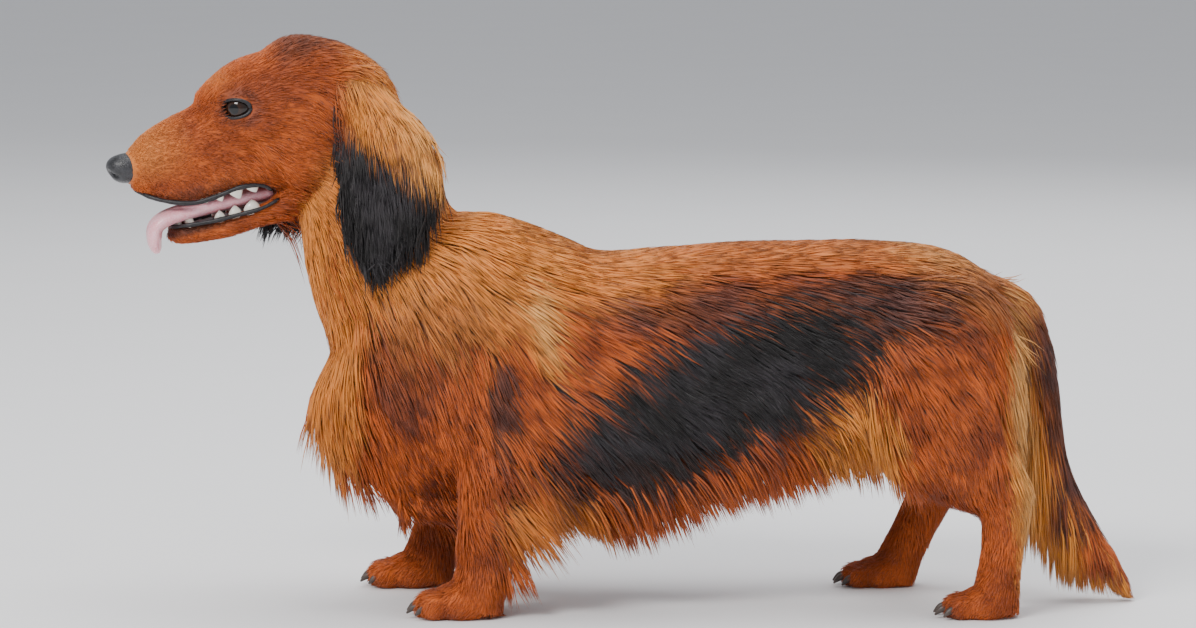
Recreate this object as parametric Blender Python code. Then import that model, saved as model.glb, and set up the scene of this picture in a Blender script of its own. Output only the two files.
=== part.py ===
"""A standing long-haired dachshund, life size, with its mouth open and its tongue out.

The dog faces -X, its left side is -Y and it stands on Z = 0. The sizes below are in
millimetres and mesh_of() turns them into metres. Round forms are lofts: rings set along
a path, fused by a voxel remesh, smoothed, and then parted into nodes with thin cuts.
"""

import math
import random
from collections import namedtuple

import bmesh
import bpy
import numpy as np
from mathutils import Matrix, Vector
from mathutils.bvhtree import BVHTree

MM = 0.001
GAP = 0.3
# Points nearer than this, in metres, are merged after a cut
SLIVER = 1e-6
SEED = 1
# Nodes whose locks are drawn from a seed of their own
SEEDS = {"ear_right": 5}
LEFT, RIGHT = -1, 1
SIDE_NAMES = {LEFT: "left", RIGHT: "right"}

# Colour, roughness and metallic value of each material
FINISHES = {
    "red_coat": ((0.45, 0.13, 0.04), 0.65, 0.0),
    "gold_coat": ((0.62, 0.30, 0.11), 0.65, 0.0),
    "dark_coat": ((0.05, 0.035, 0.04), 0.6, 0.0),
    "nose_leather": ((0.03, 0.03, 0.035), 0.4, 0.0),
    "tongue_skin": ((0.75, 0.30, 0.32), 0.35, 0.0),
    "eye_glass": ((0.03, 0.015, 0.01), 0.08, 0.0),
}

# The head's frame: its origin lies between the eyes, F runs to the nose and U to the brow
HEAD_ORIGIN = Vector((-246.0, -6.0, 320.0))
HEAD_PITCH = math.radians(16.0)
HEAD_YAW = math.radians(9.0)

# Rings of the body: X, Y, Z, half-width, half-height, egg (wider above), squareness
TRUNK = [
    (-184, 0, 158, 22, 26, 0.0, 2.0),
    (-178, 0, 155, 42, 52, 0.05, 2.0),
    (-166, 0, 153, 58, 76, 0.08, 2.1),
    (-140, 0, 155, 69, 92, 0.10, 2.2),
    (-105, 0, 156, 76, 100, 0.12, 2.2),
    (-65, 0, 152, 80, 94, 0.12, 2.2),
    (-20, 0, 150, 81, 82, 0.10, 2.2),
    (25, 0, 157, 79, 76, 0.08, 2.2),
    (70, 0, 165, 74, 71, 0.06, 2.2),
    (115, 0, 170, 68, 67, 0.04, 2.2),
    (155, 0, 171, 67, 66, 0.02, 2.2),
    (190, 0, 169, 68, 64.5, 0.0, 2.2),
    (218, 0, 163, 62, 56, 0.0, 2.1),
    (238, 0, 160, 48, 42, 0.0, 2.0),
    (249, 0, 160, 28, 26, 0.0, 2.0),
]
# Rings of the neck, whose half-height is measured fore and aft
NECK = [
    (-182, -3, 326, 37, 38, 0.0, 2.0),
    (-174, -2, 298, 41, 42, 0.0, 2.0),
    (-166, -1, 268, 46, 48, 0.0, 2.0),
    (-155, 0, 234, 54, 54, 0.0, 2.0),
    (-138, 0, 195, 62, 58, 0.0, 2.0),
    (-120, 0, 160, 60, 58, 0.0, 2.0),
]
SHOULDER = ((-98, 50, 150), (44, 25, 62))

# A foreleg with its paw at X = 0: X, Y, Z, half-width, half-height fore and aft
FORELEG = [
    (10, 46, 140, 20, 32, 0.0, 2.0),
    (12, 54, 112, 20, 28, 0.0, 2.0),
    (8, 58, 86, 17.5, 20.5, 0.0, 2.0),
    (4, 59, 60, 15.5, 16.5, 0.0, 2.0),
    (3, 59, 36, 15.5, 16.0, 0.0, 2.0),
    (1, 59, 18, 18, 18, 0.0, 2.0),
    (-2, 59, 6, 19, 20, 0.0, 2.0),
]
FORELEG_X = {LEFT: -93, RIGHT: -128}
FORELEG_TOP_X = {LEFT: -90, RIGHT: -104}

# A hind leg with its hock at X = 0: thigh, shank, hock and metatarsus
HINDLEG = [
    (-38, 34, 205, 20, 30, 0.0, 2.0),
    (-40, 46, 180, 26, 42, 0.0, 2.0),
    (-42, 51, 150, 28, 46, 0.0, 2.0),
    (-38, 54, 122, 26, 42, 0.0, 2.0),
    (-22, 56, 98, 20, 30, 0.0, 2.0),
    (-4, 58, 80, 15, 20, 0.0, 2.0),
    (0, 59, 66, 13.5, 15, 0.0, 2.0),
    (-1, 59, 46, 13.0, 13.5, 0.0, 2.0),
    (-3, 59, 28, 13.5, 14.0, 0.0, 2.0),
    (-5, 59, 12, 15.5, 16.0, 0.0, 2.0),
    (-6, 59, 4, 16.0, 17.0, 0.0, 2.0),
]
HOCK_X = {LEFT: 240, RIGHT: 202}
# How far the foot stands ahead of its place under the hock
HIND_STEP = {LEFT: 0, RIGHT: -20}

PAW_SIZE = {"fore": 1.0, "hind": 0.87}
PAW_AHEAD = 9
PAW_HEIGHT = 9
PAW_RADII = (21, 21, 15)
TOE_COUNT = 4
TOE_FAN = math.radians(17.0)
TOE_REACH = 25
TOE_RADII = (12.5, 7.2, 9.5)
# Rings of a claw: distance ahead of the toe's root, drop, radius
CLAW = [(0, 0, 2.3), (5.5, 1.0, 2.0), (10, 4.6, 0.5)]

TAIL = [
    (232, 0, 196, 17, 16, 0.0, 2.0),
    (250, 0, 186, 15, 13, 0.0, 2.0),
    (262, 0, 156, 12, 10.5, 0.0, 2.0),
    (267, 0, 125, 10, 9.5, 0.0, 2.0),
    (272, 0, 98, 8.0, 7.5, 0.0, 2.0),
    (283, 0, 70, 7.0, 6.5, 0.0, 2.0),
    (298, 0, 44, 5.5, 5.0, 0.0, 2.0),
    (312, 0, 28, 4.0, 3.5, 0.0, 2.0),
]

# Rings of the head in its own frame: F, 0, U of the middle, half-width, half-height
SKULL = [
    (-96, 0, -14, 12, 10, 0.0, 2.0),
    (-90, 0, -15, 27, 20, 0.0, 2.0),
    (-74, 0, -16, 37, 37, 0.0, 2.2),
    (-54, 0, -17, 41, 48, 0.0, 2.3),
    (-36, 0, -17, 41, 50, 0.0, 2.3),
    (-20, 0, -15, 39, 46, 0.02, 2.3),
    (-7, 0, -12, 36, 41, 0.02, 2.3),
    (4, 0, -13, 31, 35, -0.02, 2.3),
    (14, 0, -17.5, 27, 30, -0.06, 2.4),
    (26, 0, -20.5, 25.5, 28.5, -0.08, 2.5),
    (40, 0, -22, 24, 28, -0.08, 2.6),
    (54, 0, -21.5, 22, 25, -0.06, 2.6),
    (66, 0, -20.5, 19, 20, -0.02, 2.5),
    (75, 0, -19, 15.5, 14, 0.0, 2.4),
    (81, 0, -18, 11, 9, 0.0, 2.2),
]
# Forms laid on the skull, each mirrored: centre (F, Y, U), radii, squareness is round
BROW = ((1, 20, 9.5), (15, 9.5, 8.5))
CHEEK_BONE = ((-20, 30, -13), (26, 11, 12))
CHEEK = ((-34, 26, -38), (24, 15, 25))
# The hanging part of the upper lip, whose rings run forward along the muzzle
FLEW = [
    (-12, 21, -44, 7, 11, 0.0, 2.0), (0, 20, -40, 7.5, 11, 0.0, 2.0),
    (14, 19, -38, 7.5, 11, 0.0, 2.0), (30, 17, -38.5, 7.0, 11.5, 0.0, 2.0),
    (44, 15, -38, 7.0, 11.5, 0.0, 2.0), (58, 12, -34.5, 6.5, 10, 0.0, 2.0),
    (69, 8.5, -30, 6.0, 8.5, 0.0, 2.0), (76, 5, -27, 5.0, 6.0, 0.0, 2.0),
]
EYE_BULGE = ((-2, 21, -1), (15, 12, 13))

JAW = [
    (-76, 0, -34, 36, 30, 0.0, 2.2),
    (-52, 0, -46, 34, 26, 0.0, 2.2),
    (-32, 0, -56, 29, 18, 0.0, 2.2),
    (-12, 0, -66, 24, 11, 0.0, 2.2),
    (8, 0, -69.5, 21, 8.2, 0.0, 2.2),
    (28, 0, -70.5, 18.5, 8.0, 0.0, 2.2),
    (44, 0, -69.5, 16, 7.6, 0.0, 2.2),
    (56, 0, -68, 13, 7.0, 0.0, 2.1),
    (63, 0, -66.5, 8.5, 5.0, 0.0, 2.0),
]
# The corner of the mouth (F, Y, U) and the line the jaw parts along behind it
JAW_PLANE = ((-8, 0, -59), (0.85, 0, -0.5268))
LIP_RADIUS = 2.0
UPPER_LIP = [(-5, 26, -55.5), (1, 26.5, -50.5), (14, 25.5, -48), (30, 23.5, -49.5),
             (44, 21.5, -49.5), (58, 18.5, -45), (69, 14, -39), (77, 6, -33)]
LOWER_LIP = [(-7, 25, -62.5), (4, 22.5, -65), (20, 19.5, -65), (36, 17, -64.5),
             (50, 14, -63), (59, 9, -62), (62.5, 2.5, -62)]

EYE_CENTRE = (-1.5, 23.0, 0.5)
EYE_RADIUS = 10.5
SOCKET_RADIUS = 11.7
EYE_GAZE = (0.52, 0.85, 0.05)
LID_RADIUS = 12.8
LID_OPENING = (19.0, 13.5)

NOSE_CENTRE = (81.0, 0, -18.5)
NOSE_RADII = (8.5, 11.5, 9.5)
NOSTRIL_AT = (86.5, 5.4, -19.5)
NOSTRIL_RADII = (4.5, 2.0, 2.6)

TONGUE = [
    (-6, 0, -60, 11, 4.0, 0.0, 2.2),
    (14, 0, -58, 12.5, 4.2, 0.0, 2.2),
    (34, -1, -56.5, 12.5, 4.0, 0.0, 2.2),
    (52, -3, -56, 12, 3.4, 0.0, 2.2),
    (66, -5, -55.5, 12, 3.6, 0.0, 2.2),
    (74.5, -6, -61, 11.5, 3.6, 0.0, 2.2),
    (77, -6.5, -71, 10, 3.4, 0.0, 2.2),
    (76.5, -7, -80, 6, 2.4, 0.0, 2.0),
]

# Teeth: F, Y, U of the root, height down or up, half-length along the jaw, half-thickness
UPPER_TEETH = [(6, 21.5, -47, 6, 5.0, 2.6), (17, 21.2, -46, 8, 5.6, 2.6),
               (28, 20.0, -46, 6.5, 4.4, 2.2), (37, 18.8, -46, 5, 3.4, 2.0)]
LOWER_TEETH = [(10, 16.5, -64, 5.5, 5.2, 2.4), (21, 15.0, -64, 5, 4.0, 2.2),
               (31, 13.8, -64, 4.5, 3.4, 2.0), (50, 8.8, -63, 9, 2.8, 2.6),
               (56.5, 5.4, -62, 5, 1.8, 1.6), (58.5, 1.9, -62, 5, 1.8, 1.6)]

# An ear hangs from its root; its rings: how far down, how far back, half-width, thickness
EAR_ROOT = (-78, 31, 0)
EAR_RINGS = [
    (-6, -2, 10, 4.0), (2, 0, 17, 5.0), (16, 3, 22, 5.0), (44, 20, 32, 5.0), (74, 25, 36.5, 4.5),
    (94, 23, 35, 4.0), (112, 20, 29, 3.5), (128, 17, 19, 3.0), (138, 14, 7, 2.0),
]
EAR_CUP = 8.0
EAR_SWING = {LEFT: math.radians(0.0), RIGHT: math.radians(33.0)}
EAR_LENGTH = {LEFT: 1.0, RIGHT: 0.94}
EAR_TURN = {LEFT: math.radians(-4.0), RIGHT: math.radians(9.0)}
EAR_FLARE = math.radians(16.0)

# Cores of the long hair, which reach less than half way to its tips
BELLY_CORE = [
    (-140, 0, 72, 34, 13, 0.0, 2.0),
    (-90, 0, 66, 40, 12, 0.0, 2.0),
    (-35, 0, 74, 46, 12, 0.0, 2.0),
    (20, 0, 90, 46, 12, 0.0, 2.0),
    (80, 0, 108, 42, 11, 0.0, 2.0),
    (130, 0, 118, 36, 10, 0.0, 2.0),
]
CHEST_CORE = [
    (-186, 0, 226, 24, 10, 0.0, 2.0),
    (-177, 0, 185, 32, 12, 0.0, 2.0),
    (-172, 0, 145, 38, 12, 0.0, 2.0),
    (-160, 0, 104, 38, 13, 0.0, 2.0),
    (-142, 0, 74, 32, 10, 0.0, 2.0),
]
FEATHER_CORE = [
    (24, 60, 112, 8, 12, 0.0, 2.0),
    (30, 61, 88, 7, 18, 0.0, 2.0),
    (28, 61, 62, 6, 16, 0.0, 2.0),
    (22, 60, 38, 5, 12, 0.0, 2.0),
]
FLANK_CORE = [
    (140, 50, 140, 9, 20, 0.0, 2.0),
    (146, 54, 118, 8, 18, 0.0, 2.0),
    (150, 55, 102, 5, 10, 0.0, 2.0),
]
BREECHES_CORE = [
    (236, 36, 178, 9, 10, 0.0, 2.0),
    (240, 40, 150, 10, 10, 0.0, 2.0),
    (240, 46, 122, 8, 9, 0.0, 2.0),
]
# The lying coat adds about this much to the trunk and the neck
COAT_DEPTH = 5.5
EAR_CORE = (0.86, 0.84)

# A lock's rings before its tip: share of its length, of its width and of its thickness
LOCK_RINGS = [(0.0, 0.75, 1.0), (0.34, 1.0, 0.95), (0.70, 0.70, 0.7)]
LOCK_TIP = (1.0, 0.0, 0.4)
LOCK_TURN = 0.12
# How deep a lock's root is sunk, and how deep it is where it lies on the thin ear
LOCK_SINK = 4.0
EAR_SINK = 2.4
# A lying lock starts this far under the surface and its middle runs this far over it
ROOT_DIP = 1.2
UNDER = 1.0
LOCK_CLEAR = 0.45
FLOOR_CLEAR = 1.2
LOOSE = 2.0
SHORTER = (1.0, 0.8, 0.6, 0.45)

# A region of long hair on a node. X, Z and Y span its roots, with Y measured outwards;
# facing is the way its surface looks, with the least cosine to that; gap is the roots'
# spacing. Lie is for the left side. Rise lifts the root's heading and fall bends it down
# at each ring. Lift is the tip's height over the surface it lies along, or None where it
# hangs free.
Region = namedtuple("Region", "node x z y facing least gap length width thick lie rise fall lift")

FRINGES = [
    Region("ear", (-240, -95), (222, 345), (30, 110), (0, -1, 0), 0.35, 31, 52, 25, 4,
           (0.10, 0, -1), 0.1, 0.04, 2.5),
    Region("ear", (-240, -95), (200, 265), (30, 110), (0.5, 0, -1), 0.25, 18, 36, 20, 4,
           (0.04, 0, -1), 0.05, 0.1, None),
    Region("tail", (236, 320), (20, 180), (-30, 30), (-1, 0, -0.2), -0.3, 16.5, 68, 22, 5,
           (0.10, 0.10, -1), 0.3, 0.3, None),
    Region("hindleg", (226, 262), (96, 200), (20, 85), (1, 0, 0), 0.35, 27, 46, 22, 5,
           (0.25, 0, -1), 0.2, 0.25, None),
    Region("foreleg", (3, 113), (26, 108), (40, 85), (1, 0, 0), 0.3, 17, 50, 20, 5,
           (1, 0, -0.6), 0.1, 0.12, None),
    Region("torso", (140, 172), (92, 150), (38, 80), (0, -0.4, -1), 0.3, 21, 40, 19, 5,
           (0.35, 0, -1), 0.2, 0.3, None),
    Region("torso", (-165, 150), (36, 130), (-46, 46), (0, 0, -1), 0.5, 31, 42, 28, 5.5,
           (0.95, 0, -0.7), 0.2, 0.12, None),
    Region("neck", (-225, -150), (180, 300), (-60, 60), (-1, 0, -0.3), 0.35, 27, 42, 24, 5,
           (0.40, 0, -1), 0.15, 0.1, 5),
]
LYING = [
    Region("torso", (-215, -120), (60, 240), (-55, 55), (-1, 0, -0.2), 0.35, 34, 52, 30, 5,
           (0.5, 0, -1), 0.15, 0.1, 7),
    Region("hindleg", (150, 258), (92, 215), (30, 90), (0, -1, 0), 0.35, 44, 54, 31, 4.5,
           (0.30, 0, -1), 0.1, 0.02, 4),
    Region("torso", (-175, -70), (70, 238), (30, 100), (0, -1, 0), 0.35, 54, 68, 36, 4.5,
           (0.55, 0, -0.85), 0.1, 0.02, 4.5),
    Region("torso", (-70, 252), (80, 238), (30, 100), (0, -1, 0), 0.35, 63, 80, 40, 4.5,
           (0.90, 0, -0.45), 0.1, 0.02, 4.5),
    Region("torso", (-130, 252), (180, 270), (-60, 60), (0, 0, 1), 0.35, 84, 80, 38, 4,
           (1, -0.1, -0.1), 0.06, 0.0, 3),
    Region("neck", (-225, -100), (180, 345), (-80, 80), (0.2, 0, 1), 0.35, 40, 48, 28, 4.5,
           (0.45, 0, -1), 0.1, 0.02, 3),
    Region("neck", (-225, -100), (180, 345), (20, 80), (0, -1, 0), 0.35, 38, 46, 26, 4.5,
           (0.45, 0, -1), 0.1, 0.02, 3),
    Region("tail", (230, 320), (60, 215), (-30, 30), (1, 0, 0.3), 0.3, 30, 50, 21, 4,
           (0.25, 0, -1), 0.1, 0.02, 2.5),
]
# Regions whose X is counted from the leg's own
X_FROM = {"foreleg": FORELEG_X}

BODY_VOXEL, HEAD_VOXEL, PAW_VOXEL = 3.0, 1.6, 1.6
BODY_TRIANGLES, HEAD_TRIANGLES, JAW_TRIANGLES = 1500, 950, 300
PAW_TRIANGLES, NOSE_TRIANGLES = 160, 200

# Planes that part the nodes: a point and a normal towards the second node of the pair
HEAD_FROM_NECK = (Vector((-181, 0, 289)), Vector((0.81, 0, -0.586)))
NECK_FROM_TORSO = (Vector((-147, 0, 227)), Vector((0.571, 0, -0.821)))


def clear_scene():
    for obj in list(bpy.data.objects):
        bpy.data.objects.remove(obj)


def material(name):
    colour, roughness, metallic = FINISHES[name]
    made = bpy.data.materials.get(name) or bpy.data.materials.new(name)
    made.use_nodes = True
    shader = made.node_tree.nodes["Principled BSDF"]
    shader.inputs["Base Color"].default_value = (*colour, 1.0)
    shader.inputs["Roughness"].default_value = roughness
    shader.inputs["Metallic"].default_value = metallic
    return made


def mesh_of(name, points, faces):
    """A new object from points in millimetres."""
    mesh = bpy.data.meshes.new(name)
    mesh.from_pydata([tuple(c * MM for c in p) for p in points], [], faces)
    mesh.update()
    obj = bpy.data.objects.new(name, mesh)
    bpy.context.scene.collection.objects.link(obj)
    return obj


def smooth_rows(rows, steps):
    """The rows with steps - 1 more set between each pair on a Catmull-Rom curve."""
    rows = np.array(rows, float)
    padded = np.vstack([2 * rows[0] - rows[1], rows, 2 * rows[-1] - rows[-2]])
    made = []
    for i in range(len(rows) - 1):
        a, b, c, d = padded[i:i + 4]
        for t in np.arange(steps) / steps:
            made.append(0.5 * (2 * b + (c - a) * t + (2 * a - 5 * b + 4 * c - d) * t ** 2
                               + (3 * b - a - 3 * c + d) * t ** 3))
    return np.array(made + [rows[-1]])


def ring(centre, tangent, half_width, half_height, egg, squareness, sides):
    """An egg-shaped superellipse across the tangent, its width along Y."""
    lateral = (Vector((0, 1, 0)) - tangent * tangent.y).normalized()
    upward = tangent.cross(lateral).normalized()
    points = []
    for i in range(sides):
        angle = 2 * math.pi * i / sides
        c, s = math.cos(angle), math.sin(angle)
        across = math.copysign(abs(c) ** (2 / squareness), c) * half_width
        above = math.copysign(abs(s) ** (2 / squareness), s) * half_height
        points.append(centre + lateral * across * (1 + egg * s) + upward * above)
    return points


def loft(name, rows, steps=3, sides=28, side=1, to_world=None):
    """A closed tube through the rings, mirrored to one side and moved by to_world."""
    rows = smooth_rows(rows, steps)
    centres = [Vector(r[:3]) for r in rows]
    points = []
    for i, row in enumerate(rows):
        tangent = centres[min(i + 1, len(rows) - 1)] - centres[max(i - 1, 0)]
        points += ring(centres[i], tangent.normalized(), *row[3:], sides)
    faces = []
    for i in range(len(rows) - 1):
        for j in range(sides):
            k = (j + 1) % sides
            faces.append((i * sides + j, i * sides + k, (i + 1) * sides + k, (i + 1) * sides + j))
    faces.append(tuple(reversed(range(sides))))
    faces.append(tuple(range((len(rows) - 1) * sides, len(rows) * sides)))
    points = [Vector((p.x, p.y * side, p.z)) for p in points]
    if to_world is not None:
        points = [to_world @ p for p in points]
    return face_outwards(mesh_of(name, points, faces))


def face_outwards(obj):
    work = bmesh.new()
    work.from_mesh(obj.data)
    bmesh.ops.recalc_face_normals(work, faces=work.faces)
    if work.calc_volume(signed=True) < 0:
        bmesh.ops.reverse_faces(work, faces=work.faces)
    work.to_mesh(obj.data)
    work.free()
    return obj


def ellipsoid(name, centre, radii, turn=None, divisions=3, side=1, to_world=None):
    """An icosphere stretched to the radii, turned about its centre."""
    work = bmesh.new()
    bmesh.ops.create_icosphere(work, subdivisions=divisions, radius=1.0)
    turn = turn or Matrix.Identity(3)
    points = []
    for vertex in work.verts:
        p = turn @ Vector(a * b for a, b in zip(vertex.co, radii)) + Vector(centre)
        p = Vector((p.x, p.y * side, p.z))
        points.append(to_world @ p if to_world is not None else p)
    faces = [tuple(v.index for v in f.verts) for f in work.faces]
    work.free()
    return face_outwards(mesh_of(name, points, faces))


def head_to_world():
    """Turns (F, Y, U) of the head's frame into X, Y, Z."""
    axes = Matrix(((-1, 0, 0), (0, 1, 0), (0, 0, 1))).to_4x4()
    pitch = Matrix.Rotation(-HEAD_PITCH, 4, "Y")
    yaw = Matrix.Rotation(HEAD_YAW, 4, "Z")
    return Matrix.Translation(HEAD_ORIGIN) @ yaw @ pitch @ axes


def join(name, pieces):
    """One object that holds the pieces' meshes, which are then removed."""
    work = bmesh.new()
    for piece in pieces:
        work.from_mesh(piece.data)
    mesh = bpy.data.meshes.new(name)
    work.to_mesh(mesh)
    work.free()
    for piece in pieces:
        bpy.data.objects.remove(piece)
    obj = bpy.data.objects.new(name, mesh)
    bpy.context.scene.collection.objects.link(obj)
    return obj


def apply_modifiers(obj):
    graph = bpy.context.evaluated_depsgraph_get()
    graph.update()
    mesh = bpy.data.meshes.new_from_object(obj.evaluated_get(graph))
    obj.modifiers.clear()
    obj.data = mesh
    return obj


def fuse(name, pieces, voxel, rounds, triangles):
    """The pieces as one closed skin: a voxel remesh, smoothed and thinned."""
    obj = join(name, pieces)
    remesh = obj.modifiers.new("remesh", "REMESH")
    remesh.mode = "VOXEL"
    remesh.voxel_size = voxel * MM
    smooth = obj.modifiers.new("smooth", "SMOOTH")
    smooth.factor = 0.5
    smooth.iterations = rounds
    apply_modifiers(obj)
    return thin(obj, triangles)


def thin(obj, triangles):
    """Thins the mesh to about so many triangles."""
    now = sum(len(p.vertices) - 2 for p in obj.data.polygons)
    step = obj.modifiers.new("thin", "DECIMATE")
    step.ratio = min(1.0, triangles / now)
    return apply_modifiers(obj)


def boolean(obj, other, operation, solver="EXACT", keep_other=False):
    step = obj.modifiers.new(operation.lower(), "BOOLEAN")
    step.operation = operation
    step.solver = solver
    step.object = other
    apply_modifiers(obj)
    if not keep_other:
        bpy.data.objects.remove(other)
    return obj


def unite(obj, pieces, solver="EXACT"):
    """Joins the pieces to obj with one Boolean on a collection of them."""
    group = bpy.data.collections.new("pieces")
    bpy.context.scene.collection.children.link(group)
    for piece in pieces:
        bpy.context.scene.collection.objects.unlink(piece)
        group.objects.link(piece)
    step = obj.modifiers.new("union", "BOOLEAN")
    step.operation = "UNION"
    step.solver = solver
    step.operand_type = "COLLECTION"
    step.collection = group
    apply_modifiers(obj)
    for piece in pieces:
        bpy.data.objects.remove(piece)
    bpy.data.collections.remove(group)
    return obj


def keep_largest(obj):
    """Keeps only the largest closed surface of the mesh, walked over edges of two faces."""
    work = bmesh.new()
    work.from_mesh(obj.data)
    bmesh.ops.remove_doubles(work, verts=work.verts, dist=SLIVER)
    bmesh.ops.triangulate(work, faces=work.faces)
    left, best = set(work.faces), set()
    while left:
        group, front = set(), [left.pop()]
        while front:
            face = front.pop()
            group.add(face)
            for edge in face.edges:
                if len(edge.link_faces) == 2:
                    for other in edge.link_faces:
                        if other in left:
                            left.remove(other)
                            front.append(other)
        best = max(best, group, key=len)
    bmesh.ops.delete(work, geom=[f for f in work.faces if f not in best], context="FACES")
    work.to_mesh(obj.data)
    work.free()
    return obj


def copy_of(obj, name):
    made = bpy.data.objects.new(name, obj.data.copy())
    bpy.context.scene.collection.objects.link(made)
    return made


def block(name, origin, axes, low, high):
    """A box between two corners, given along three axes from an origin."""
    points = []
    for i in range(8):
        corner = [(low, high)[(i >> k) & 1][k] for k in range(3)]
        points.append(origin + sum((a * c for a, c in zip(axes, corner)), Vector()))
    faces = [(0, 2, 3, 1), (4, 5, 7, 6), (0, 1, 5, 4), (2, 6, 7, 3), (0, 4, 6, 2), (1, 3, 7, 5)]
    return face_outwards(mesh_of(name, points, faces))


FAR = 500.0


def half_space(name, plane, towards, shift=0.0, reach=FAR, low=-FAR, high=FAR):
    """A large box on one side of a plane that stands across the XZ plane."""
    point, normal = plane
    normal = normal.normalized() * towards
    along = Vector((normal.z, 0, -normal.x))
    return block(name, point + normal * shift, (normal, Vector((0, 1, 0)), along),
                 (0, -FAR, low), (reach, FAR, high))


def leg_block(name, side, x_low, x_high, corner, lean, grow=0.0):
    """A box that holds one leg: its roof leans up and outwards from the corner (Y, Z)."""
    outward = Vector((0, side * math.cos(lean), math.sin(lean)))
    downward = Vector((0, side * math.sin(lean), -math.cos(lean)))
    origin = Vector((0, side * corner[0], corner[1]))
    return block(name, origin, (Vector((1, 0, 0)), outward, downward),
                 (x_low - grow, -grow - 60, -grow), (x_high + grow, 260, 320))


FORE_BLOCK = {LEFT: (-136, -6), RIGHT: (-172, -38)}
FORE_CORNER, FORE_LEAN = (33, 64), math.radians(50.0)
HIND_BLOCK = {LEFT: (160, 300), RIGHT: (146, 300)}
HIND_CORNER, HIND_LEAN = (11, 98), math.radians(60.0)
ANKLE_Z = {"fore": 27.0, "hind": 25.0}
FOOT_Y = 59


def toe_places(kind, side):
    """The middle and the direction of each toe of a paw."""
    size = PAW_SIZE[kind]
    places = []
    for i in range(TOE_COUNT):
        share = i - (TOE_COUNT - 1) / 2
        turn = share * TOE_FAN
        reach = (TOE_REACH - 2.6 * abs(share) ** 1.5) * size
        offset = Vector((-math.cos(turn) * reach * 0.78, math.sin(turn) * reach * 1.25, -1.0))
        places.append((paw_centre(kind, side) + offset, turn))
    return places


def paw_centre(kind, side):
    under = {"fore": FORELEG_X[side], "hind": HOCK_X[side] + HIND_STEP[side] - 4}[kind]
    return Vector((under - PAW_AHEAD * PAW_SIZE[kind], FOOT_Y, PAW_HEIGHT * PAW_SIZE[kind]))


def paw_pieces(kind, side):
    """The pad's mass and the toes."""
    size = PAW_SIZE[kind]
    pieces = [ellipsoid("pad", paw_centre(kind, side), [r * size for r in PAW_RADII], side=side)]
    for place, turn in toe_places(kind, side):
        radii = [r * size for r in TOE_RADII]
        pieces.append(ellipsoid("toe", place, radii, Matrix.Rotation(-turn, 3, "Z"), side=side))
    return pieces


def claws(kind, side):
    """Short cones that leave the toes forward and down."""
    made = []
    for place, turn in toe_places(kind, side):
        ahead = Vector((-math.cos(turn), math.sin(turn) * 0.6, 0))
        root = place + ahead * 6.5 * PAW_SIZE[kind]
        rows = [(*(root + ahead * d - Vector((0, 0, h))), r, r, 0, 2) for d, h, r in CLAW]
        made.append(loft("claw", rows, steps=1, sides=5, side=side))
    return made


def foreleg_rows(side):
    """The foreleg's rings, leaning from its top under the shoulder to its paw."""
    rows = []
    for x, y, z, *rest in FORELEG:
        share = min(1.0, max(0.0, (z - 20) / 110))
        rows.append((x + FORELEG_X[side] * (1 - share) + FORELEG_TOP_X[side] * share, y, z, *rest))
    return rows


def hindleg_rows(side):
    """The hind leg's rings, with the foot stepped ahead of the hock."""
    rows = []
    for x, y, z, *rest in HINDLEG:
        step = HIND_STEP[side] * min(1.0, max(0.0, (66 - z) / 60))
        top = (HOCK_X[LEFT] - HOCK_X[side]) * min(1.0, max(0.0, (z - 80) / 90))
        rows.append((x + HOCK_X[side] + step + top, y, z, *rest))
    return rows


def leg_rows(kind, side):
    return foreleg_rows(side) if kind == "fore" else hindleg_rows(side)


def slimmer(rows, by):
    """The rings with their half-widths and half-heights less by the coat's depth."""
    return [(*r[:3], r[3] - by, r[4] - by, *r[5:]) for r in rows]


def body_pieces(world):
    pieces = [loft("trunk", slimmer(TRUNK, COAT_DEPTH)), loft("neck", slimmer(NECK, COAT_DEPTH))]
    pieces += [loft("skull", SKULL, to_world=world), loft("jaw", JAW, to_world=world)]
    pieces += [loft("belly_core", BELLY_CORE), loft("chest_core", CHEST_CORE)]
    for side in (LEFT, RIGHT):
        pieces.append(ellipsoid("shoulder", *SHOULDER, side=side))
        feather = [(r[0] + FORELEG_X[side], *r[1:]) for r in FEATHER_CORE]
        pieces.append(loft("feather_core", feather, side=side))
        pieces.append(loft("flank_core", FLANK_CORE, side=side))
        pieces.append(loft("breeches_core", BREECHES_CORE, side=side))
        for kind in ("fore", "hind"):
            pieces.append(loft("leg", leg_rows(kind, side), side=side))
            pieces += paw_pieces(kind, side)
    return pieces


def ground_block():
    return level_block(0)


def make_paw(kind, side):
    """A paw on its flat sole, cut off level under the wrist or ankle, with its claws."""
    pieces = [loft("leg", leg_rows(kind, side), side=side)] + paw_pieces(kind, side)
    paw = fuse(f"{kind}paw_{SIDE_NAMES[side]}", pieces, PAW_VOXEL, 4, PAW_TRIANGLES * 2)
    boolean(paw, level_block(ANKLE_Z[kind]), "INTERSECT")
    thin(paw, PAW_TRIANGLES)
    boolean(paw, level_block(ANKLE_Z[kind]), "INTERSECT")
    boolean(paw, ground_block(), "DIFFERENCE")
    return keep_largest(unite(keep_largest(paw), claws(kind, side)))


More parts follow.
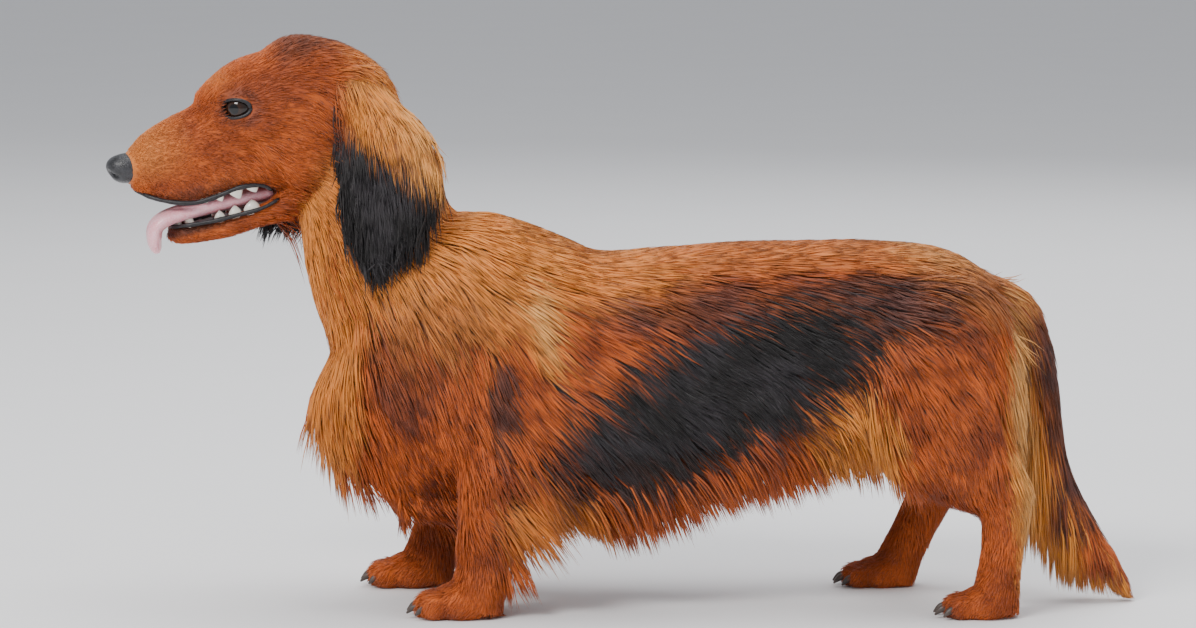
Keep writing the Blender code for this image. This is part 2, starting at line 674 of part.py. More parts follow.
def make_body(world):
    """The body without its head and tail, standing on flat soles, parted into its nodes."""
    body = fuse("torso", body_pieces(world), BODY_VOXEL, 4, BODY_TRIANGLES)
    boolean(body, ground_block(), "DIFFERENCE")
    nodes = {}
    for side in (LEFT, RIGHT):
        word = SIDE_NAMES[side]
        for kind, spans, corner, lean in (("fore", FORE_BLOCK, FORE_CORNER, FORE_LEAN),
                                          ("hind", HIND_BLOCK, HIND_CORNER, HIND_LEAN)):
            leg = copy_of(body, f"{kind}leg_{word}")
            boolean(leg, leg_block("cutter", side, *spans[side], corner, lean), "INTERSECT")
            boolean(body, leg_block("cutter", side, *spans[side], corner, lean, GAP), "DIFFERENCE")
            boolean(leg, level_block(ANKLE_Z[kind] + GAP), "DIFFERENCE")
            nodes[leg.name] = keep_largest(leg)
            paw = make_paw(kind, side)
            nodes[paw.name] = paw
    neck = copy_of(body, "neck")
    boolean(neck, half_space("cutter", NECK_FROM_TORSO, -1), "INTERSECT")
    boolean(neck, half_space("cutter", HEAD_FROM_NECK, -1, -GAP), "DIFFERENCE")
    boolean(body, half_space("cutter", NECK_FROM_TORSO, -1, -GAP), "DIFFERENCE")
    nodes["neck"], nodes["torso"] = keep_largest(neck), keep_largest(body)
    return nodes


def make_tail(others):
    """The tail with its plume, cut back from the rump and the legs."""
    tail = loft("tail", TAIL, steps=2, sides=10)
    for other in others:
        clear_of(tail, other)
    return tail


def level_block(top):
    """All the space under a level."""
    return block("cutter", Vector(), (Vector((1, 0, 0)), Vector((0, 1, 0)), Vector((0, 0, 1))),
                 (-FAR, -FAR, -60), (FAR, FAR, top))


def basis_to(direction):
    """A rotation that takes +X to the direction and keeps Z upwards."""
    ahead = Vector(direction).normalized()
    sideways = Vector((0, 0, 1)).cross(ahead).normalized()
    upward = ahead.cross(sideways)
    return Matrix((ahead, sideways, upward)).transposed()


def eye_point(side):
    return Vector((EYE_CENTRE[0], EYE_CENTRE[1], EYE_CENTRE[2]))


def lid_cutter(side, world):
    """A lens-shaped prism along the gaze: the opening between the lids."""
    turn = basis_to(EYE_GAZE)
    half_length, half_height = LID_OPENING[0] / 2, LID_OPENING[1] / 2
    count = 9
    upper = [(-half_length + 2 * half_length * i / count,
              half_height * math.sin(math.pi * i / count) ** 0.8) for i in range(count + 1)]
    outline = upper + [(a, -b * 0.9) for a, b in reversed(upper[1:-1])]
    points = []
    for depth in (2.0, 40.0):
        for a, b in outline:
            p = turn @ Vector((depth, a, b - 0.12 * a)) + eye_point(side)
            points.append(world @ Vector((p.x, p.y * side, p.z)))
    n = len(outline)
    faces = [tuple(range(n)), tuple(range(n, 2 * n))]
    faces += [(i, (i + 1) % n, n + (i + 1) % n, n + i) for i in range(n)]
    return face_outwards(mesh_of("cutter", points, faces))


def tube(name, path, radius, side, world, steps=2, sides=4):
    """A closed tube along a path of the head's frame, thinner at its ends."""
    rows = smooth_rows(path, steps)
    last = len(rows) - 1
    rows = [(*r, radius * (0.55 if i in (0, last) else 1.0), radius * (0.55 if i in (0, last) else 1.0),
             0, 2) for i, r in enumerate(rows)]
    centres = [Vector(r[:3]) for r in rows]
    points, faces = [], []
    for i, row in enumerate(rows):
        tangent = (centres[min(i + 1, last)] - centres[max(i - 1, 0)]).normalized()
        upward = (Vector((0, 0, 1)) - tangent * tangent.z).normalized()
        lateral = upward.cross(tangent)
        for j in range(sides):
            angle = 2 * math.pi * j / sides
            points.append(centres[i] + (lateral * math.cos(angle) + upward * math.sin(angle)) * row[3])
    for i in range(last):
        for j in range(sides):
            k = (j + 1) % sides
            faces.append((i * sides + j, i * sides + k, (i + 1) * sides + k, (i + 1) * sides + j))
    faces += [tuple(range(sides)), tuple(range(last * sides, (last + 1) * sides))]
    points = [world @ Vector((p.x, p.y * side, p.z)) for p in points]
    return face_outwards(mesh_of(name, points, faces))


def tooth(f, y, u, height, half_length, half_thickness, side, world):
    """A pointed four-sided tooth, its root sunk 3 mm in the gum."""
    up = math.copysign(1.0, height)
    points, faces, sides = [], [], 4
    for rise, scale in ((-3.0 * up, 1.0), (height * 0.5, 0.75)):
        for j in range(sides):
            angle = 2 * math.pi * j / sides
            points.append((f + math.cos(angle) * half_length * scale,
                           y + math.sin(angle) * half_thickness * scale, u + rise))
    points.append((f - half_length * 0.2, y, u + height))
    for j in range(sides):
        k = (j + 1) % sides
        faces += [(j, k, sides + k, sides + j), (sides + j, sides + k, 2 * sides)]
    faces.append(tuple(range(sides)))
    points = [world @ Vector((p[0], p[1] * side, p[2])) for p in points]
    return face_outwards(mesh_of("tooth", points, faces))


def mouth_cutter(world):
    """The hollow between the lips: under the palate, over the jaw's floor."""
    rows = [(-4, 0, -52, 16, 5, 0, 3), (10, 0, -50, 19.5, 11, 0, 3), (30, 0, -50, 18, 12, 0, 3),
            (48, 0, -50, 15.5, 12, 0, 3), (60, 0, -50, 12, 10, 0, 3), (68, 0, -50, 8, 8, 0, 3)]
    return loft("cutter", rows, steps=1, sides=12, to_world=world)


def make_head(world):
    """The skull with its lids, lips and upper teeth, and the lower jaw."""
    pieces = [loft("skull", SKULL, to_world=world), loft("neck", NECK)]
    for side in (LEFT, RIGHT):
        pieces.append(loft("flew", FLEW, side=side, to_world=world))
        for centre, radii in (BROW, CHEEK_BONE, CHEEK, EYE_BULGE):
            pieces.append(ellipsoid("form", centre, radii, side=side, to_world=world))
    head = fuse("head", pieces, HEAD_VOXEL, 10, HEAD_TRIANGLES)
    boolean(head, mouth_cutter(world), "DIFFERENCE")
    boolean(head, half_space("cutter", HEAD_FROM_NECK, 1), "DIFFERENCE")
    jaw = fuse("jaw", [loft("jaw", JAW, to_world=world), loft("neck", NECK)], HEAD_VOXEL, 5,
               JAW_TRIANGLES)
    boolean(jaw, jaw_trough(world), "DIFFERENCE")
    boolean(jaw, half_space("cutter", HEAD_FROM_NECK, 1), "DIFFERENCE")
    boolean(jaw, jaw_block(world, 1, 0.0, 0.0), "DIFFERENCE")
    boolean(head, jaw_block(world, -1, GAP, 70.0), "DIFFERENCE")
    extra, jaw_extra = [], []
    for side in (LEFT, RIGHT):
        centre = eye_point(side)
        lids = ellipsoid("lids", centre, (LID_RADIUS,) * 3, divisions=2, side=side, to_world=world)
        extra.append(lids)
        extra.append(tube("lip", UPPER_LIP, LIP_RADIUS, side, world))
        jaw_extra.append(tube("lip", LOWER_LIP, LIP_RADIUS * 0.9, side, world, 1))
        extra += [tooth(f, y, u, -h, l, t, side, world) for f, y, u, h, l, t in UPPER_TEETH]
        jaw_extra += [tooth(*row, side, world) for row in LOWER_TEETH]
    unite(head, extra)
    unite(jaw, jaw_extra)
    for side in (LEFT, RIGHT):
        centre = eye_point(side)
        socket = ellipsoid("cutter", centre, (SOCKET_RADIUS,) * 3, divisions=2, side=side,
                           to_world=world)
        boolean(head, socket, "DIFFERENCE")
        boolean(head, lid_cutter(side, world), "DIFFERENCE")
    return keep_largest(head), keep_largest(jaw)


def jaw_trough(world):
    rows = [(-8, 0, -58, 14, 4, 0, 3), (6, 0, -60.5, 16.5, 5, 0, 3), (26, 0, -61, 14.5, 5, 0, 3),
            (42, 0, -61, 12, 4.5, 0, 3), (54, 0, -61, 8, 4, 0, 3)]
    return loft("cutter", rows, steps=1, sides=10, to_world=world)


def jaw_block(world, towards, shift, ahead):
    """A box over or under the plane that parts the jaw from the cheek, behind the mouth."""
    along = Vector(JAW_PLANE[1])
    normal = Vector((-along.z, 0, along.x))
    origin = Vector(JAW_PLANE[0]) + normal * shift
    axes = [world.to_3x3() @ a for a in (along, Vector((0, 1, 0)), normal * towards)]
    return block("cutter", world @ origin, axes, (-140, -90, 0), (ahead, 90, 130))


def make_eye(side, world):
    return ellipsoid(f"eye_{SIDE_NAMES[side]}", eye_point(side), (EYE_RADIUS,) * 3,
                     divisions=2, side=side, to_world=world)


def make_nose(world, head):
    """The nose leather, with a nostril sunk in each side, and its seat in the muzzle."""
    nose = ellipsoid("nose", NOSE_CENTRE, NOSE_RADII, divisions=4, to_world=world)
    for side in (LEFT, RIGHT):
        turn = Matrix.Rotation(math.radians(35.0), 3, "Z")
        boolean(nose, ellipsoid("cutter", NOSTRIL_AT, NOSTRIL_RADII, turn, divisions=2,
                                side=side, to_world=world), "DIFFERENCE")
    seat = ellipsoid("cutter", NOSE_CENTRE, [r + GAP for r in NOSE_RADII], to_world=world)
    boolean(head, seat, "DIFFERENCE")
    return thin(nose, NOSE_TRIANGLES)


def make_ear(side, world):
    """An ear: a leaf that hangs from its root, its hollow towards the cheek."""
    root = world @ Vector((EAR_ROOT[0], EAR_ROOT[1] * side, EAR_ROOT[2]))
    hang = (Matrix.Rotation(EAR_TURN[side], 3, "Z") @ Matrix.Rotation(EAR_SWING[side], 3, "Y")
            @ Matrix.Rotation(EAR_FLARE * side, 3, "X"))
    rows = smooth_rows([(d * EAR_CORE[0], b * EAR_CORE[0], h * EAR_CORE[1], t)
                        for d, b, h, t in EAR_RINGS], 1)
    widest = max(r[2] for r in EAR_RINGS)
    points, faces, sides = [], [], 12
    for down, back, half, thick in rows:
        for j in range(sides):
            angle = 2 * math.pi * j / sides
            c, s = math.cos(angle), math.sin(angle)
            bow = EAR_CUP * (1 - c * c) * half / widest
            points.append(root + hang @ Vector((back + half * c, (bow + thick * s) * side,
                                                -down * EAR_LENGTH[side])))
    for i in range(len(rows) - 1):
        for j in range(sides):
            k = (j + 1) % sides
            faces.append((i * sides + j, i * sides + k, (i + 1) * sides + k, (i + 1) * sides + j))
    faces += [tuple(range(sides)), tuple(range(len(points) - sides, len(points)))]
    return face_outwards(mesh_of(f"ear_{SIDE_NAMES[side]}", points, faces))


def tree_of(points, faces):
    return BVHTree.FromPolygons([tuple(p) for p in points], faces)


def node_tree(obj):
    points = [v.co / MM for v in obj.data.vertices]
    return tree_of(points, [tuple(p.vertices) for p in obj.data.polygons])


def region_sites(obj, region, side, rng):
    """Roots spread over the faces of a region, the region's gap apart."""
    mesh = obj.data
    mesh.calc_loop_triangles()
    facing = Vector((region.facing[0], -region.facing[1] * side, region.facing[2]))
    corners, areas = [], []
    for triangle in mesh.loop_triangles:
        if triangle.normal.dot(facing.normalized()) < region.least:
            continue
        corners.append(([mesh.vertices[i].co / MM for i in triangle.vertices], triangle.normal.copy()))
        areas.append(triangle.area / MM ** 2)
    found = []
    if not areas:
        return found
    for _ in range(int(14 * sum(areas) / region.gap ** 2) + 40):
        (a, b, c), normal = rng.choices(corners, areas)[0]
        s, t = rng.random(), rng.random()
        if s + t > 1:
            s, t = 1 - s, 1 - t
        p = a + (b - a) * s + (c - a) * t
        ahead = X_FROM[region.node][side] if region.node in X_FROM else 0
        spans = ((p.x - ahead, region.x), (p.z, region.z), (p.y * side if side else p.y, region.y))
        if all(low <= value <= high for value, (low, high) in spans):
            if all((p - q).length > region.gap for q, _ in found):
                found.append((p, normal))
    return found


def lock_rings(tree, root, normal, region, side, share, extra, rng):
    """The middles and outward directions of a lock's rings, sunk at the root.

    It leaves the root along the lie, is pushed out to its lift wherever it would dip into
    the surface, bends down by its fall and keeps clear of the floor. Extra is added to the
    lift, so that a lock can pass over another.
    """
    lie = Vector((region.lie[0], -region.lie[1] * (side or 1), region.lie[2])).normalized()
    lie = (lie + Vector((rng.gauss(0, 0.07), rng.gauss(0, 0.07), rng.gauss(0, 0.04)))).normalized()
    flat = (lie - normal * lie.dot(normal)).normalized()
    heading = (flat + normal * region.rise).normalized()
    length = region.length * rng.uniform(0.85, 1.15) * share
    sink = EAR_SINK if region.node == "ear" and region.lift is not None else LOCK_SINK
    rings = [(root - normal * sink - flat * 2, normal)]
    height = region.thick * 0.2 if region.lift is None else -ROOT_DIP
    point, outward, before = root + normal * height, normal, 0.0
    turn = rng.gauss(0, LOCK_TURN)
    for along, _, thin in LOCK_RINGS + [LOCK_TIP]:
        heading = (heading + Vector((0, 0, -region.fall)) + heading.cross(outward) * turn).normalized()
        turn -= 0.5 * LOCK_TURN * math.copysign(1.0, turn)
        point = point + heading * length * (along - before)
        before = along
        near, face_normal, _, _ = tree.find_nearest(point)
        need = ((region.lift or 0.0) + extra) * along + region.thick * thin * 0.25
        if region.lift is not None and along > 0:
            need += UNDER
        height = (point - near).dot(face_normal)
        beside = abs((point - near).normalized().dot(face_normal)) < 0.7
        lying = region.lift is not None
        if along and (height < need or lying and height > need + LOOSE and not beside):
            point = near + face_normal * need
            outward = face_normal
            heading = (heading - face_normal * min(0.0, heading.dot(face_normal))).normalized()
        point.z = max(point.z, FLOOR_CLEAR + region.thick * thin * 0.6)
        rings.append((point.copy(), outward.copy()))
    return rings


def lock_mesh(rings, width, thick, grow=0.0):
    """The points and faces of a flat lock: three-cornered rings, ridged outside, and a tip."""
    points, faces = [], []
    shapes = [(0.6, 0.9)] + [(w, t) for _, w, t in LOCK_RINGS]
    for i, (middle, outward) in enumerate(rings[:-1]):
        ahead = (rings[i + 1][0] - rings[max(i - 1, 0)][0]).normalized()
        across = ahead.cross(outward).normalized()
        over = across.cross(ahead).normalized()
        half, high = shapes[i][0] * width / 2 + grow, shapes[i][1] * thick
        points += [middle + across * half - over * (high * 0.35 + grow),
                   middle + over * (high * 0.65 + grow),
                   middle - across * half - over * (high * 0.35 + grow)]
    tip = len(points)
    points.append(rings[-1][0] + (rings[-1][0] - rings[-2][0]).normalized() * grow)
    for point in points:
        point.z = max(point.z, FLOOR_CLEAR)
    for i in range(len(rings) - 2):
        for j in range(3):
            k = (j + 1) % 3
            faces.append((i * 3 + j, i * 3 + k, (i + 1) * 3 + k, (i + 1) * 3 + j))
    faces += [(2, 1, 0)] + [(tip - 3 + j, tip - 3 + (j + 1) % 3, tip) for j in range(3)]
    return points, faces


def fit_lock(tree, root, normal, region, side, others, own, rng):
    """A lock that clears the other nodes, over its own node's locks where it can."""
    width = region.width * rng.uniform(0.85, 1.15)
    state, kept = rng.getstate(), None
    for share in SHORTER:
        for extra in (0.0, 2.0, 4.0) if region.lift is not None else (0.0,):
            rng.setstate(state)
            rings = lock_rings(tree, root, normal, region, side, share, extra, rng)
            test = tree_of(*lock_mesh(rings, width, region.thick, LOCK_CLEAR))
            if any(test.overlap(other) for other in others):
                continue
            kept = (rings, test)
            if not any(test.overlap(other) for other in own):
                break
        if kept:
            points, faces = lock_mesh(kept[0], width, region.thick)
            return face_outwards(mesh_of("lock", points, faces)), kept[1]
    return None


def grow_locks(nodes):
    """Grows each region's locks on its nodes, clear of all other nodes and their locks."""
    streams = {name: random.Random(SEEDS.get(name, SEED)) for name in nodes}
    trees = {name: node_tree(node) for name, node in nodes.items()}
    grown = {name: [] for name in nodes}
    taken = {name: [tree] for name, tree in trees.items()}
    for region in FRINGES + LYING:
        for side in (LEFT, RIGHT):
            name = region.node if region.node in nodes else f"{region.node}_{SIDE_NAMES[side]}"
            central = name == region.node and region.y[0] < 0
            if central and side == RIGHT:
                continue
            others = [t for other, held in taken.items() if other != name for t in held]
            rng = streams[name]
            for root, normal in region_sites(nodes[name], region, 0 if central else side, rng):
                turn = (LEFT if root.y < 0 else RIGHT) if central else side
                made = fit_lock(trees[name], root, normal, region, turn, others, taken[name][1:], rng)
                if made is not None:
                    grown[name].append(made[0])
                    taken[name].append(made[1])
    for name, locks in grown.items():
        if locks:
            keep_largest(unite(nodes[name], locks, "MANIFOLD"))


def clear_of(obj, other, by=GAP):
    """Cuts obj back from a copy of other that is swollen by the gap."""
    swollen = copy_of(other, "swollen")
    step = swollen.modifiers.new("swell", "DISPLACE")
    step.strength = by * MM * 1.5
    step.mid_level = 0.0
    apply_modifiers(swollen)
    boolean(obj, swollen, "DIFFERENCE", "MANIFOLD")
    return keep_largest(obj)


def main():
    clear_scene()
    world = head_to_world()
    nodes = make_body(world)
    head, jaw = make_head(world)
    nodes["head"], nodes["jaw"] = head, jaw
    nodes["tail"] = make_tail([nodes[k] for k in ("torso", "hindleg_left", "hindleg_right")])
    nodes["nose"] = make_nose(world, head)
    nodes["tongue"] = loft("tongue", TONGUE, steps=1, sides=8, to_world=world)
    clear_of(nodes["tongue"], jaw)
    clear_of(nodes["tongue"], head)
    for side in (LEFT, RIGHT):
        word = SIDE_NAMES[side]
        nodes[f"eye_{word}"] = make_eye(side, world)
        ear = make_ear(side, world)
        for other in (head, jaw, nodes["neck"], nodes["torso"]):
            clear_of(ear, other)
        nodes[ear.name] = ear
    grow_locks(nodes)
    for name, node in nodes.items():
        finish = {"nose": "nose_leather", "tongue": "tongue_skin", "neck": "gold_coat",
                  "tail": "gold_coat", "ear": "dark_coat", "eye": "eye_glass"}.get(
                      name.split("_")[0], "red_coat")
        node.data.materials.clear()
        node.data.materials.append(material(finish))


if __name__ == "__main__":
    main()
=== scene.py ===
"""A long-haired dachshund standing in profile, as a still museum model dressed over its CAD frame.

Lengths in the tables are millimetres in the frame's axes: X runs from nose to tail, Y from the
near side to the far side and Z up. The head's own axes are F to the nose, Y, and U to the brow.
"""

import math

import bpy
import numpy as np
from mathutils import Matrix, Vector


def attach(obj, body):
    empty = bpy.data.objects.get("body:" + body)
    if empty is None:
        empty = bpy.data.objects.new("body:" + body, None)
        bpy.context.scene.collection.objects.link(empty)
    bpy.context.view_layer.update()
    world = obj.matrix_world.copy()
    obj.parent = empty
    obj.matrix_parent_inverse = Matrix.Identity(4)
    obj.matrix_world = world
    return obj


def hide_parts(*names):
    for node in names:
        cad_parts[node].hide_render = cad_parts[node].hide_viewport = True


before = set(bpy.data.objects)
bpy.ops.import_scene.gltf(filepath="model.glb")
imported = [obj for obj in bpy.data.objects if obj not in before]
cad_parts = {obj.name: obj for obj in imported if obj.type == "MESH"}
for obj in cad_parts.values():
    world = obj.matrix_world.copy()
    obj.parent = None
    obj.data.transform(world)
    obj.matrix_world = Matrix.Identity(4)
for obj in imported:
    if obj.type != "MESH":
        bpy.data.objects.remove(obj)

bl_info = {
    "name": "Long-haired Dachshund",
    "version": (1, 0, 0),
    "blender": (4, 5, 0),
    "location": "View3D > Sidebar > Dachshund",
    "description": "Builds the skin, coat, face and stage of a standing long-haired dachshund",
    "category": "Object",
}

MM = 0.001
LEFT, RIGHT = -1, 1
SIDE_NAMES = {LEFT: "left", RIGHT: "right"}
SKIN_NODES = ("torso", "neck", "head", "jaw", "tail", "ear_left", "ear_right",
              "foreleg_left", "foreleg_right", "hindleg_left", "hindleg_right",
              "forepaw_left", "forepaw_right", "hindpaw_left", "hindpaw_right")

# The head's frame: its origin lies between the eyes
HEAD_ORIGIN = (-246.0, -6.0, 320.0)
HEAD_PITCH = math.radians(16.0)
HEAD_YAW = math.radians(9.0)
TRUNK = [
    (-184, 0, 158, 22, 26, 0.0, 2.0),
    (-178, 0, 155, 42, 52, 0.05, 2.0),
    (-166, 0, 153, 58, 76, 0.08, 2.1),
    (-140, 0, 155, 69, 92, 0.10, 2.2),
    (-105, 0, 156, 76, 100, 0.12, 2.2),
    (-65, 0, 152, 80, 94, 0.12, 2.2),
    (-20, 0, 150, 81, 82, 0.10, 2.2),
    (25, 0, 157, 79, 76, 0.08, 2.2),
    (70, 0, 165, 74, 71, 0.06, 2.2),
    (115, 0, 170, 68, 67, 0.04, 2.2),
    (155, 0, 171, 67, 66, 0.02, 2.2),
    (190, 0, 169, 68, 64.5, 0.0, 2.2),
    (218, 0, 163, 62, 56, 0.0, 2.1),
    (238, 0, 160, 48, 42, 0.0, 2.0),
    (249, 0, 160, 28, 26, 0.0, 2.0),
]
NECK = [
    (-182, -3, 326, 37, 38, 0.0, 2.0),
    (-174, -2, 298, 41, 42, 0.0, 2.0),
    (-166, -1, 268, 46, 48, 0.0, 2.0),
    (-155, 0, 234, 54, 54, 0.0, 2.0),
    (-138, 0, 195, 62, 58, 0.0, 2.0),
    (-120, 0, 160, 60, 58, 0.0, 2.0),
]
SHOULDER = ((-98, 50, 150), (44, 25, 62))
FORELEG = [
    (10, 46, 140, 20, 32, 0.0, 2.0),
    (12, 54, 112, 20, 28, 0.0, 2.0),
    (8, 58, 86, 17.5, 20.5, 0.0, 2.0),
    (4, 59, 60, 15.5, 16.5, 0.0, 2.0),
    (3, 59, 36, 15.5, 16.0, 0.0, 2.0),
    (1, 59, 18, 18, 18, 0.0, 2.0),
    (-2, 59, 6, 19, 20, 0.0, 2.0),
]
FORELEG_X = {LEFT: -93, RIGHT: -128}
FORELEG_TOP_X = {LEFT: -90, RIGHT: -104}
HINDLEG = [
    (-38, 34, 205, 20, 30, 0.0, 2.0),
    (-40, 46, 180, 26, 42, 0.0, 2.0),
    (-42, 51, 150, 28, 46, 0.0, 2.0),
    (-38, 54, 122, 26, 42, 0.0, 2.0),
    (-22, 56, 98, 20, 30, 0.0, 2.0),
    (-4, 58, 80, 15, 20, 0.0, 2.0),
    (0, 59, 66, 13.5, 15, 0.0, 2.0),
    (-1, 59, 46, 13.0, 13.5, 0.0, 2.0),
    (-3, 59, 28, 13.5, 14.0, 0.0, 2.0),
    (-5, 59, 12, 15.5, 16.0, 0.0, 2.0),
    (-6, 59, 4, 16.0, 17.0, 0.0, 2.0),
]
HOCK_X = {LEFT: 240, RIGHT: 202}
HIND_STEP = {LEFT: 0, RIGHT: -20}
PAW_SIZE = {"fore": 1.0, "hind": 0.87}
PAW_AHEAD = 9
PAW_HEIGHT = 9
PAW_RADII = (21, 21, 15)
TOE_COUNT = 4
TOE_FAN = math.radians(17.0)
TOE_REACH = 25
TOE_RADII = (12.5, 7.2, 9.5)
CLAW = [(0, 0, 2.3), (5.5, 1.0, 2.0), (10, 4.6, 0.5)]
TAIL = [
    (232, 0, 196, 17, 16, 0.0, 2.0),
    (250, 0, 186, 15, 13, 0.0, 2.0),
    (262, 0, 156, 12, 10.5, 0.0, 2.0),
    (267, 0, 125, 10, 9.5, 0.0, 2.0),
    (272, 0, 98, 8.0, 7.5, 0.0, 2.0),
    (283, 0, 70, 7.0, 6.5, 0.0, 2.0),
    (298, 0, 44, 5.5, 5.0, 0.0, 2.0),
    (312, 0, 28, 4.0, 3.5, 0.0, 2.0),
]
SKULL = [
    (-96, 0, -14, 12, 10, 0.0, 2.0),
    (-90, 0, -15, 27, 20, 0.0, 2.0),
    (-74, 0, -16, 37, 37, 0.0, 2.2),
    (-54, 0, -17, 41, 48, 0.0, 2.3),
    (-36, 0, -17, 41, 50, 0.0, 2.3),
    (-20, 0, -15, 39, 46, 0.02, 2.3),
    (-7, 0, -12, 36, 41, 0.02, 2.3),
    (4, 0, -13, 31, 35, -0.02, 2.3),
    (14, 0, -17.5, 27, 30, -0.06, 2.4),
    (26, 0, -20.5, 25.5, 28.5, -0.08, 2.5),
    (40, 0, -22, 24, 28, -0.08, 2.6),
    (54, 0, -21.5, 22, 25, -0.06, 2.6),
    (66, 0, -20.5, 19, 20, -0.02, 2.5),
    (75, 0, -19.5, 13.5, 13, 0.0, 2.4),
    (81, 0, -19, 9.5, 8, 0.0, 2.2),
]
BROW = ((1, 20, 9.5), (15, 9.5, 8.5))
CHEEK_BONE = ((-20, 30, -13), (26, 11, 12))
CHEEK = ((-34, 26, -38), (24, 15, 25))
FLEW = [
    (-12, 21, -44, 7, 11, 0.0, 2.0), (0, 20, -40, 7.5, 11, 0.0, 2.0),
    (14, 19, -38, 7.5, 11, 0.0, 2.0), (30, 17, -38.5, 7.0, 11.5, 0.0, 2.0),
    (44, 15, -38, 7.0, 11.5, 0.0, 2.0), (58, 12, -34.5, 6.5, 10, 0.0, 2.0),
    (69, 8.5, -30, 6.0, 8.5, 0.0, 2.0), (76, 5, -27, 5.0, 6.0, 0.0, 2.0),
]
EYE_BULGE = ((-2, 21, -1), (15, 12, 13))
JAW = [
    (-76, 0, -34, 36, 30, 0.0, 2.2),
    (-52, 0, -46, 34, 26, 0.0, 2.2),
    (-32, 0, -56, 29, 18, 0.0, 2.2),
    (-12, 0, -66, 24, 11, 0.0, 2.2),
    (8, 0, -69.5, 21, 8.2, 0.0, 2.2),
    (28, 0, -70.5, 18.5, 8.0, 0.0, 2.2),
    (44, 0, -69.5, 16, 7.6, 0.0, 2.2),
    (56, 0, -68, 13, 7.0, 0.0, 2.1),
    (62, 0, -66.5, 9.5, 5.6, 0.0, 2.0),
    (65, 0, -66, 5, 3.4, 0.0, 2.0),
]
UPPER_LIP = [(-5, 26, -55.5), (1, 26.5, -50.5), (14, 25.5, -48), (30, 23.5, -49.5),
             (44, 21.5, -49.5), (58, 18.5, -45), (69, 14, -39), (77, 6, -33)]
LOWER_LIP = [(-8, 21.5, -62.5), (4, 22.2, -65), (20, 19.5, -65), (36, 17, -64.5),
             (50, 14, -63), (59, 9, -62), (62.5, 2.5, -62)]
EYE_CENTRE = (-1.5, 23.0, 0.5)
EYE_RADIUS = 10.5
SOCKET_RADIUS = 11.7
EYE_GAZE = (0.52, 0.85, 0.05)
LID_RADIUS = 12.8
LID_OPENING = (19.5, 12.5)
NOSE_CENTRE = (77.5, 0, -18.0)
NOSE_RADII = (12.0, 13.0, 9.6)
NOSTRIL_AT = (87.5, 6.0, -18.5)
TONGUE = [
    (-6, 0, -59, 12, 4.5, 0.0, 2.2),
    (14, 0, -57, 14, 5.4, 0.0, 2.2),
    (34, -1, -55.5, 14, 5.8, 0.0, 2.2),
    (52, -3, -55, 13.5, 5.4, 0.0, 2.2),
    (64, -5, -55.5, 13.5, 5.2, 0.0, 2.2),
    (71.5, -6, -59, 13, 5.2, 0.0, 2.2),
    (74.5, -6.5, -66, 11.5, 4.8, 0.0, 2.2),
    (75, -7, -72, 8, 3.6, 0.0, 2.0),
    (75, -7, -75, 3, 1.6, 0.0, 2.0),
]
UPPER_TEETH = [(6, 21.5, -47, 6, 5.0, 2.6), (17, 21.2, -46, 8, 5.6, 2.6),
               (28, 20.0, -46, 6.5, 4.4, 2.2), (37, 18.8, -46, 5, 3.4, 2.0)]
LOWER_TEETH = [(10, 16.5, -64, 5.5, 5.2, 2.4), (21, 15.0, -64, 5, 4.0, 2.2),
               (31, 13.8, -64, 4.5, 3.4, 2.0), (50, 8.8, -63, 9, 2.8, 2.6),
               (56.5, 5.4, -62, 5, 1.8, 1.6), (58.5, 1.9, -62, 5, 1.8, 1.6)]
EAR_ROOT = (-78, 31, 0)
EAR_RINGS = [
    (-6, -2, 10, 4.0), (2, 0, 17, 5.0), (16, 3, 22, 5.0), (44, 20, 32, 5.0), (74, 25, 36.5, 4.5),
    (94, 23, 35, 4.0), (112, 20, 29, 3.5), (128, 17, 19, 3.0), (138, 14, 7, 2.0),
]
EAR_CUP = 8.0
EAR_SWING = {LEFT: math.radians(0.0), RIGHT: math.radians(33.0)}
EAR_LENGTH = {LEFT: 1.0, RIGHT: 0.94}
EAR_TURN = {LEFT: math.radians(-4.0), RIGHT: math.radians(9.0)}
EAR_FLARE = math.radians(16.0)
BELLY_CORE = [
    (-140, 0, 72, 34, 13, 0.0, 2.0),
    (-90, 0, 66, 40, 12, 0.0, 2.0),
    (-35, 0, 74, 46, 12, 0.0, 2.0),
    (20, 0, 90, 46, 12, 0.0, 2.0),
    (80, 0, 108, 42, 11, 0.0, 2.0),
    (130, 0, 118, 36, 10, 0.0, 2.0),
]
CHEST_CORE = [
    (-186, 0, 226, 24, 10, 0.0, 2.0),
    (-177, 0, 185, 32, 12, 0.0, 2.0),
    (-172, 0, 145, 38, 12, 0.0, 2.0),
    (-160, 0, 104, 38, 13, 0.0, 2.0),
    (-142, 0, 74, 32, 10, 0.0, 2.0),
]
BREECHES_CORE = [
    (236, 36, 178, 9, 10, 0.0, 2.0),
    (240, 40, 150, 10, 10, 0.0, 2.0),
    (240, 46, 122, 8, 9, 0.0, 2.0),
]
EAR_CORE = (0.86, 0.84)
FOOT_Y = 59
LIP_RADIUS = 1.55
COAT_DEPTH = 6.5
HEAD_INSET = 0.8
LEG_INSET = 1.5
CHEST_INSET = 5
BELLY_INSET = 2
TAIL_INSET = 1.2
SHOULDER_INSET = 3
BREECHES_INSET = 1.5
TOE_INSET = 0.8
EAR_INSET = 0.6
SKIN_VOXEL = 1.5
SKIN_TRIANGLES = 160000
# More tufts than the comb's sizes ask for: low on the tail, and behind the legs
PLUME_EXTRA, PLUME_TOP, PLUME_FADE = 5, 130, 60
FEATHER_EXTRA, FEATHER_LOW = 3, 36


# Shapes

def unit(v):
    """The vectors at length one."""
    return v / np.maximum(np.linalg.norm(v, axis=-1, keepdims=True), 1e-9)


